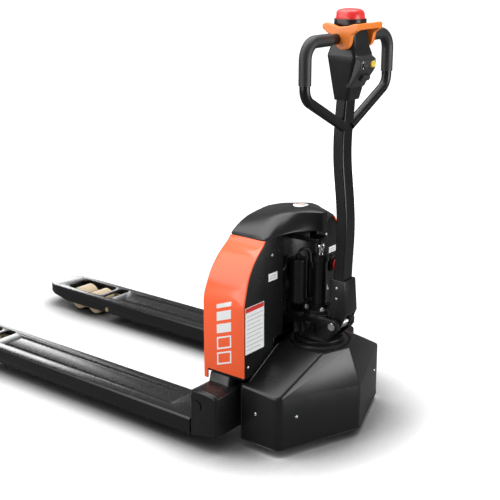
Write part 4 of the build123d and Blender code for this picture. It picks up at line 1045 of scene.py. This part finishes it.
def softbox(name, place, target, size, radiance):
    """A rectangular lamp of a given brightness, turned to a target."""
    data = bpy.data.lights.new(name, "AREA")
    data.shape = "RECTANGLE"
    data.size, data.size_y = size
    data.energy = radiance * pi * size[0] * size[1]
    lamp = add_object(name, data)
    lamp.location = place
    aim = Vector(target) - Vector(place)
    lamp.rotation_euler = aim.to_track_quat("-Z", "Y").to_euler()


def studio():
    """White behind the truck, dim walls for reflections, and softboxes."""
    world = bpy.data.worlds.new("studio")
    world.use_nodes = True
    tree = world.node_tree
    path = tree.nodes.new("ShaderNodeLightPath")
    seen = tree.nodes.new("ShaderNodeBackground")
    seen.inputs["Color"].default_value = (1, 1, 1, 1)
    seen.inputs["Strength"].default_value = 1.1
    dim = tree.nodes["Background"]
    dim.inputs["Color"].default_value = (1, 1, 1, 1)
    dim.inputs["Strength"].default_value = 0.22
    choose = tree.nodes.new("ShaderNodeMixShader")
    tree.links.new(path.outputs["Is Camera Ray"], choose.inputs["Fac"])
    tree.links.new(dim.outputs["Background"], choose.inputs[1])
    tree.links.new(seen.outputs["Background"], choose.inputs[2])
    tree.links.new(choose.outputs["Shader"], tree.nodes["World Output"].inputs["Surface"])
    scene.world = world
    softbox("overhead", (-0.15, 0.3, 3.2), (0.1, 0, 0.2), (3.4, 2.6), 4.6)
    softbox("operator_side", (3.75, 0.85, 0.80), (0.7, 0, 0.25), (2.4, 1.5), 8.0)
    softbox("fork_side", (-1.25, -2.35, 2.35), (0.45, -0.25, 0.45), (2.0, 3.8), 3.6)
    softbox("low_fill", (-0.1, -3.5, 0.85), (0.3, 0, 0.4), (2.4, 1.2), 4.0)
    softbox("behind_forks", (-3.9, 2.3, 1.15), (-0.9, -0.1, 0.1), (1.6, 1.1), 8.5)


def floor():
    """Pale floor with a painted contact shadow darkening it close under the truck, darker for
    reflections, glowing well away from it.
    """
    bm = bmesh.new()
    bmesh.ops.create_grid(bm, x_segments=4, y_segments=4, size=30)
    thing = add_mesh("floor", bm)
    thing.location.z = cad_low[2] - 0.0005
    material = bpy.data.materials.new("pale_floor")
    material.use_nodes = True
    tree = material.node_tree
    shader = tree.nodes["Principled BSDF"]
    shader.inputs["Roughness"].default_value = 0.75
    shader.inputs["Specular IOR Level"].default_value = 0.1
    shader.inputs["Emission Strength"].default_value = 1.0
    # Painted contact shadow: ambient occlusion darkens the floor's colour close under and around the
    # truck.
    painted_contact_shadow = tree.nodes.new("ShaderNodeAmbientOcclusion")
    painted_contact_shadow.samples = 8
    painted_contact_shadow.inputs["Distance"].default_value = 0.20
    painted_shadow_depth = math_node(tree, "POWER", painted_contact_shadow.outputs["AO"], 2.2)
    tree.links.new(blend_colour(tree, painted_shadow_depth, (0.0, 0.0, 0.0), (0.9, 0.9, 0.9)),
                   shader.inputs["Base Color"])
    coords = tree.nodes.new("ShaderNodeTexCoord")
    reach = tree.nodes.new("ShaderNodeVectorMath")
    reach.operation = "LENGTH"
    tree.links.new(coords.outputs["Object"], reach.inputs[0])
    ramp = tree.nodes.new("ShaderNodeMapRange")
    ramp.interpolation_type = "SMOOTHSTEP"
    for label, value in (("From Min", 1.2), ("From Max", 3.2), ("To Min", 0.0), ("To Max", 1.0)):
        ramp.inputs[label].default_value = value
    tree.links.new(reach.outputs["Value"], ramp.inputs["Value"])
    tree.links.new(ramp.outputs["Result"], shader.inputs["Emission Color"])
    unlit = tree.nodes.new("ShaderNodeBsdfDiffuse")
    unlit.inputs["Color"].default_value = (0.16, 0.16, 0.16, 1)
    path = tree.nodes.new("ShaderNodeLightPath")
    choose = tree.nodes.new("ShaderNodeMixShader")
    tree.links.new(path.outputs["Is Camera Ray"], choose.inputs["Fac"])
    tree.links.new(unlit.outputs["BSDF"], choose.inputs[1])
    tree.links.new(shader.outputs["BSDF"], choose.inputs[2])
    tree.links.new(choose.outputs["Shader"], tree.nodes["Material Output"].inputs["Surface"])
    thing.data.materials.append(material)


# ------------------------------------------------------------------ the truck
camera()
studio()
floor()
scene.view_settings.view_transform = "Standard"
FASTENERS = fastener_tree()
carried_over()
# Nodes whose edges are rounded, and by how much.
for node, width in (
    ("housing", 0.0012), ("heel_left", 0.0018), ("heel_right", 0.0018),
    ("strip_left", 0.0008), ("strip_right", 0.0008), ("cross_plate", 0.0012),
    ("skirt", 0.0055), ("neck", 0.0015), ("tiller_socket", 0.0012),
    ("base_plate", 0.0012), ("lift_bracket", 0.001), ("head_collar", 0.001),
    ("battery", 0.002), ("controller", 0.0006),
    ("fork_left", 0.0008), ("fork_right", 0.0008),
):
    round_edges(node, width)
head_shell()
cover_shell()
throttle_wings()
reversing_button()
press_button("creep_button", "yellow_plastic")
press_button("horn_button", "rubber")
shell_of_cap = cap_shell()
strip_marks()
printed("far_plate", "housing", [(0.120, 0.352), (0.150, 0.352), (0.135, 0.380)],
        "black_plastic", "label_grey", "x", 1)
plate_with_rules("rating_label", "housing", -0.2476, 0.2706, -0.1657, 0.404, 0.013, 9)
plate_with_rules("small_label", "housing", -0.146, 0.452, -0.106, 0.474, 0.0, 2)
plate_with_rules("far_label", "housing", 0.146, 0.464, 0.182, 0.482, 0.0, 2)
cap_disc(shell_of_cap)
all_fasteners()
hydraulic_lines()
